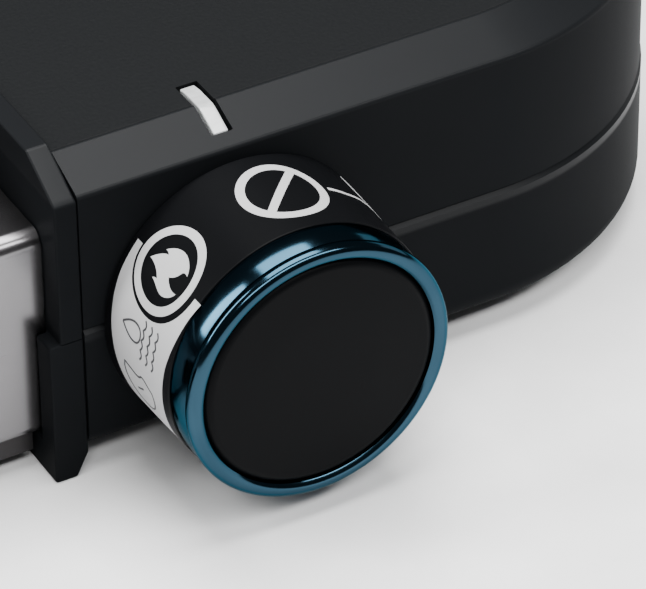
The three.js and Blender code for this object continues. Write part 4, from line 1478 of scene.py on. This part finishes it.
@dataclass
class CookingPlate:
    """The lift-off plate: rim, gutter, flat, grip ears and spout."""

    finishes: Finishes
    ear: float = 9 * MM
    ear_length: float = 80 * MM
    ear_thickness: float = 5 * MM
    ear_corner: float = 6 * MM
    ear_drop: float = 2 * MM
    height: float = 17 * MM
    corner: float = 16 * MM
    rim: float = 5 * MM
    flat_depth: float = 10 * MM
    gutter: float = 10 * MM
    gutter_depth: float = 3 * MM
    lip: float = 22 * MM
    lip_width: float = 4 * MM
    lip_depth: float = 5 * MM
    lift: float = 2 * MM
    spout_half: float = 18 * MM
    spout_wall: float = 1.5 * MM

    def build(self) -> None:
        """Builds the plate."""
        low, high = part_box("griddle_plate")
        low, high = low.copy(), high.copy()
        spout_low = low.z
        low.x += self.ear
        high.x -= self.ear
        low.z = high.z - self.height
        bm = block(low, high)
        round_edges(bm, along(bm.edges, Z), self.corner, 10)
        trough = sink(bm, face_towards(bm, UP), self.rim, self.flat_depth + self.gutter_depth)
        sink(bm, trough, self.gutter, -self.gutter_depth)
        piece = as_object("cooking_plate", bm)
        centre = (low + high) / 2
        middle = Vector((centre.x, low.y + self.rim + self.gutter / 2, 0))
        deep = self.gutter / 2 - self.gutter_depth / 2
        spout_top = high.z - self.flat_depth - self.gutter_depth - MM
        spout = block(
            Vector((middle.x - self.spout_half, middle.y - deep, spout_low)),
            Vector((middle.x + self.spout_half, middle.y + deep, spout_top)),
        )
        ears = [
            self.ear_block(edge, sign, centre.y, high.z) for edge, sign in ((low.x, -1), (high.x, 1))
        ]
        skirt = self.skirt_block(low, high, self.lip, -self.lip_depth, MM)
        combine(piece, [spout, *ears, skirt], "UNION")
        inner = self.spout_wall
        drain = block(
            Vector((middle.x - self.spout_half + inner, middle.y - deep + inner, spout_low - MM)),
            Vector((middle.x + self.spout_half - inner, middle.y + deep - inner, high.z - self.flat_depth)),
        )
        hollow = self.skirt_block(low, high, self.lip + self.lip_width, -self.lip_depth - MM, self.lift)
        combine(piece, [drain, hollow])
        finish(piece, self.finishes.non_stick, Body.PLATE, ["griddle_plate"], edge=0.9 * MM)

    @staticmethod
    def skirt_block(low: Vector, high: Vector, inset: float, down: float, up: float) -> BMesh:
        """A block under the plate.

        Args:
            low: The plate's lowest corner.
            high: The plate's highest corner.
            inset: How far inside the plate's sides it stands.
            down: Its lower end, from the plate's underside.
            up: Its upper end, from the plate's underside.

        Returns:
            The block.
        """
        margin = Vector((inset, inset, 0))
        near, far = low + margin, high - margin
        return block(Vector((*near.xy, low.z + down)), Vector((*far.xy, low.z + up)))

    def ear_block(self, edge: float, sign: int, middle: float, top: float) -> BMesh:
        """One grip ear.

        Args:
            edge: The X of the plate's side.
            sign: Which way the ear points along X.
            middle: The Y of its middle.
            top: The height of the plate's rim.

        Returns:
            The ear, which starts inside the rim.
        """
        root, tip = edge - sign * self.rim / 2, edge + sign * self.ear
        half = self.ear_length / 2
        surface = top - self.ear_drop
        bm = block(
            Vector((min(root, tip), middle - half, surface - self.ear_thickness)),
            Vector((max(root, tip), middle + half, surface)),
        )
        round_edges(bm, along(level(bm, X, tip), Z), self.ear_corner, 6)
        return bm


@dataclass
class DripTray:
    """The sliding tray and its front."""

    finishes: Finishes
    nodes: tuple[str, ...] = (
        "drip_tray", "tray_wall_left", "tray_wall_right", "tray_wall_front", "tray_wall_back",
    )
    wall: float = 1.5 * MM
    corner: float = 5 * MM
    floor_round: float = 2.5 * MM
    under_round: float = 1.2 * MM
    scoop: float = 6 * MM

    def build_tray(self) -> None:
        """The tray's pan."""
        low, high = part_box(self.nodes[0])[0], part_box(self.nodes[1])[1]
        high = Vector((*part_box(self.nodes[0])[1].xy, high.z))
        bm = block(low, high)
        round_edges(bm, along(bm.edges, Z), self.corner, 6)
        floor = sink(bm, face_towards(bm, UP), self.wall, high.z - low.z - self.wall)
        round_edges(bm, floor.edges, self.floor_round, 4)
        round_edges(bm, level(bm, Z, low.z), self.under_round, 3)
        piece = as_object("drip_tray_pan", bm)
        finish(piece, self.finishes.stainless, Body.TRAY, self.nodes, smooth=50)

    def build_front(self) -> None:
        """The tray's front, with a finger scoop along its top."""
        low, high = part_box("tray_front")
        outline = fillet(
            [
                (high.y, low.z, 0.5 * MM),
                (high.y, high.z, 0.5 * MM),
                (low.y + self.scoop / 2, high.z, 0.8 * MM),
                (low.y + self.scoop / 2, high.z - self.scoop / 2, 2 * MM),
                (low.y, high.z - self.scoop, 1.6 * MM),
                (low.y, low.z, 2 * MM),
            ],
            5,
            closed=True,
        )
        piece = as_object("drip_tray_front", extruded(outline, low.x, high.x))
        finish(piece, self.finishes.graphite, Body.TRAY, ["tray_front"], edge=0.6 * MM)

    def build(self) -> None:
        """Builds the tray and its front."""
        self.build_tray()
        self.build_front()


# ---------------------------------------------------------------- small pieces


@dataclass
class Heater:
    """The heating element: one smooth loop with two ends that turn down and out."""

    finishes: Finishes
    radius: float = 3.5 * MM
    bend: float = 22 * MM
    tight: float = 8 * MM
    spacing: float = 44 * MM
    end_height: float = 52 * MM

    def path(self) -> list[Vector]:
        """The middle line of the element."""
        low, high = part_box("heating_element")
        inset = Vector((self.radius,) * 3)
        low, high = low + inset, high - inset
        plate_low, plate_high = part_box("griddle_plate")
        middle = (plate_low.y + plate_high.y) / 2
        right = low.x + (plate_high.x - plate_low.x) - 2 * (low.x - plate_low.x)
        half = self.spacing / 2
        step = self.bend / 2
        down = self.end_height
        front = [
            (Vector((high.x + self.radius, middle - half, down)), 0.0),
            (Vector((right + step, middle - half, down)), self.tight),
            (Vector((right, middle - half - step, high.z)), self.tight),
            (Vector((right, low.y, high.z)), self.bend),
            (Vector((low.x, low.y, high.z)), self.bend),
        ]
        mirrored = [(Vector((at.x, 2 * middle - at.y, at.z)), radius) for at, radius in reversed(front)]
        return rounded(front + mirrored)

    def build(self) -> None:
        """Builds the element."""
        piece = tube("heater_loop", self.path(), self.radius)
        finish(piece, self.finishes.heater, Body.BASE, ["heating_element"], smooth=60)


@dataclass
class Foot:
    """A round rubber foot with a stem in the housing's floor."""

    node: str
    finishes: Finishes
    radius: float = 9 * MM
    stem: float = 3.4 * MM
    seat: float = 5.7 * MM

    def build(self) -> None:
        """Builds the foot."""
        low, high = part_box(self.node)
        profile = fillet(
            [
                (0, 0.6 * MM, 0),
                (self.radius - 4 * MM, 0.6 * MM, 0.4 * MM),
                (self.radius - 3.4 * MM, 0, 0.4 * MM),
                (self.radius - 0.8 * MM, 0, 0.8 * MM),
                (self.radius, 1.6 * MM, 0.8 * MM),
                (self.radius, self.seat, 0.4 * MM),
                (self.stem, self.seat, 0.2 * MM),
                (self.stem, high.z, 0.4 * MM),
                (0, high.z, 0),
            ],
            4,
        )
        middle = Vector(((low.x + high.x) / 2, (low.y + high.y) / 2, 0))
        piece = as_object(f"{self.node}_pad", placed(spun(profile, 64), Matrix.Translation(middle)))
        finish(piece, self.finishes.rubber, Body.BASE, [self.node])


@dataclass
class Gland:
    """The cord gland in the back wall."""

    finishes: Finishes
    bore: float = 4.5 * MM
    neck: float = 7.5 * MM
    flange: float = 11 * MM
    flange_rear: float = 10.7 * MM

    def build(self) -> None:
        """Builds the gland."""
        low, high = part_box("cord_gland")
        end = high.y - low.y
        groove = self.flange_rear + 2.3 * MM
        profile = fillet(
            [
                (self.bore, 0, 0.4 * MM),
                (self.neck, 0, 0.6 * MM),
                (self.neck, self.flange_rear, 0.1 * MM),
                (self.flange, self.flange_rear, 0.5 * MM),
                (self.flange, groove, 0.3 * MM),
                (self.flange - 1.2 * MM, groove + 0.5 * MM, 0.3 * MM),
                (self.flange - 1.2 * MM, end, 1.2 * MM),
                (self.bore + 0.8 * MM, end, 0.5 * MM),
                (self.bore, end - 1.5 * MM, 0.4 * MM),
            ],
            5,
            closed=True,
        )
        place = Vector(((low.x + high.x) / 2, low.y, (low.z + high.z) / 2))
        turn = Matrix.Translation(place) @ Matrix.Rotation(-math.pi / 2, 4, "X")
        piece = as_object("cord_gland_body", placed(spun([*profile, profile[0]], 64), turn))
        finish(piece, self.finishes.rubber, Body.BASE, ["cord_gland"])


# ---------------------------------------------------------------- stage


@dataclass(frozen=True)
class Softbox:
    """A rectangular light.

    Its place and target are points in the frame, its width and height are metres.
    """

    name: str
    place: tuple[float, float, float]
    target: tuple[float, float, float]
    width: float
    height: float
    watts: float

    def create(self) -> None:
        """Adds the light."""
        data = bpy.data.lights.new(self.name, "AREA")
        data.shape = "RECTANGLE"
        data.size, data.size_y = self.width, self.height
        data.energy = self.watts
        light = bpy.data.objects.new(self.name, data)
        light.location = self.place
        facing = Vector(self.target) - Vector(self.place)
        light.rotation_euler = facing.to_track_quat("-Z", "Y").to_euler()
        bpy.context.scene.collection.objects.link(light)


@dataclass
class Studio:
    """A pale floor and soft lights."""

    finishes: Finishes
    floor_size: float = 6.0
    middle: tuple[float, float, float] = (0.15, 0, 0.05)
    sky_strength: float = 0.12

    def build(self) -> None:
        """Lays the floor and sets the lights and the surroundings."""
        bm = bmesh.new()
        bmesh.ops.create_grid(bm, x_segments=2, y_segments=2, size=self.floor_size / 2)
        floor = as_object("floor", bm)
        floor.data.materials.append(self.finishes.floor)
        under = (0.25, 0.05, 0)
        for light in (
            Softbox("overhead", (0.25, 0.05, 1.25), under, width=0.85, height=1.0, watts=41),
            Softbox("left_strip", (-1.2, 0.5, 1.1), self.middle, width=0.35, height=1.4, watts=34),
            Softbox("front_strip", (0.2, -1.14, 1.35), self.middle, width=2.2, height=0.3, watts=34),
            Softbox("right_low", (1.7, 0.25, 0.42), self.middle, width=1.2, height=0.5, watts=3),
        ):
            light.create()
        world = bpy.data.worlds.new("surroundings")
        world.use_nodes = True
        sky = world.node_tree.nodes["Background"]
        sky.inputs["Color"].default_value = (1, 1, 1, 1)
        sky.inputs["Strength"].default_value = self.sky_strength
        bpy.context.scene.world = world


# ---------------------------------------------------------------- kept pieces


def dress_kept_nodes(finishes: Finishes) -> None:
    """Gives every CAD piece that stays its procedural material.

    Args:
        finishes: The griddle's materials.
    """
    by_slot = {
        "graphite_plastic": finishes.graphite,
        "grained_plastic": finishes.grained,
        "soft_black": finishes.soft_black,
        "chrome_trim": finishes.chrome,
        "stainless": finishes.stainless,
        "plated_steel": finishes.zinc,
        "nonstick_cast": finishes.non_stick,
        "element_sheath": finishes.heater,
        "clear_plastic": finishes.clear,
        "rubber_black": finishes.rubber,
        "board_green": finishes.board,
        "cream_plastic": finishes.cream,
        "blue_plastic": finishes.blue,
        "silicone": finishes.silicone,
    }
    for entry in frame["record"]["subparts"]:
        node = frame["nodes"][entry["node"]]
        for slot in node.material_slots:
            slot.material = by_slot[entry["material_slot"]]
    # The base pan takes the darkened steel, which paints the shade along the band under the deck.
    frame["nodes"]["base_pan"].material_slots[0].material = finishes.steel_painted_shade


def main() -> None:
    """Builds the griddle, sub-assembly by sub-assembly."""
    logging.basicConfig(level=logging.INFO, format="%(name)s %(message)s")
    Viewpoint().create()
    finishes = Finishes()
    dress_kept_nodes(finishes)
    control = ControlHousing(Side.RIGHT, "housing", finishes)
    control.build()
    control.build_guide()
    EndHousing(Side.LEFT, "cap", finishes).build()
    SideFrame(Side.RIGHT, "side_frame_right", finishes).build()
    SideFrame(Side.LEFT, "side_frame_left", finishes).build()
    Knob(finishes).build()
    Base(finishes).build()
    CookingPlate(finishes).build()
    DripTray(finishes).build()
    Heater(finishes).build()
    Gland(finishes).build()
    for node in ("housing_foot_1", "housing_foot_2", "cap_foot_1", "cap_foot_2"):
        Foot(node, finishes).build()
    Studio(finishes).build()


if __name__ == "__main__":
    main()
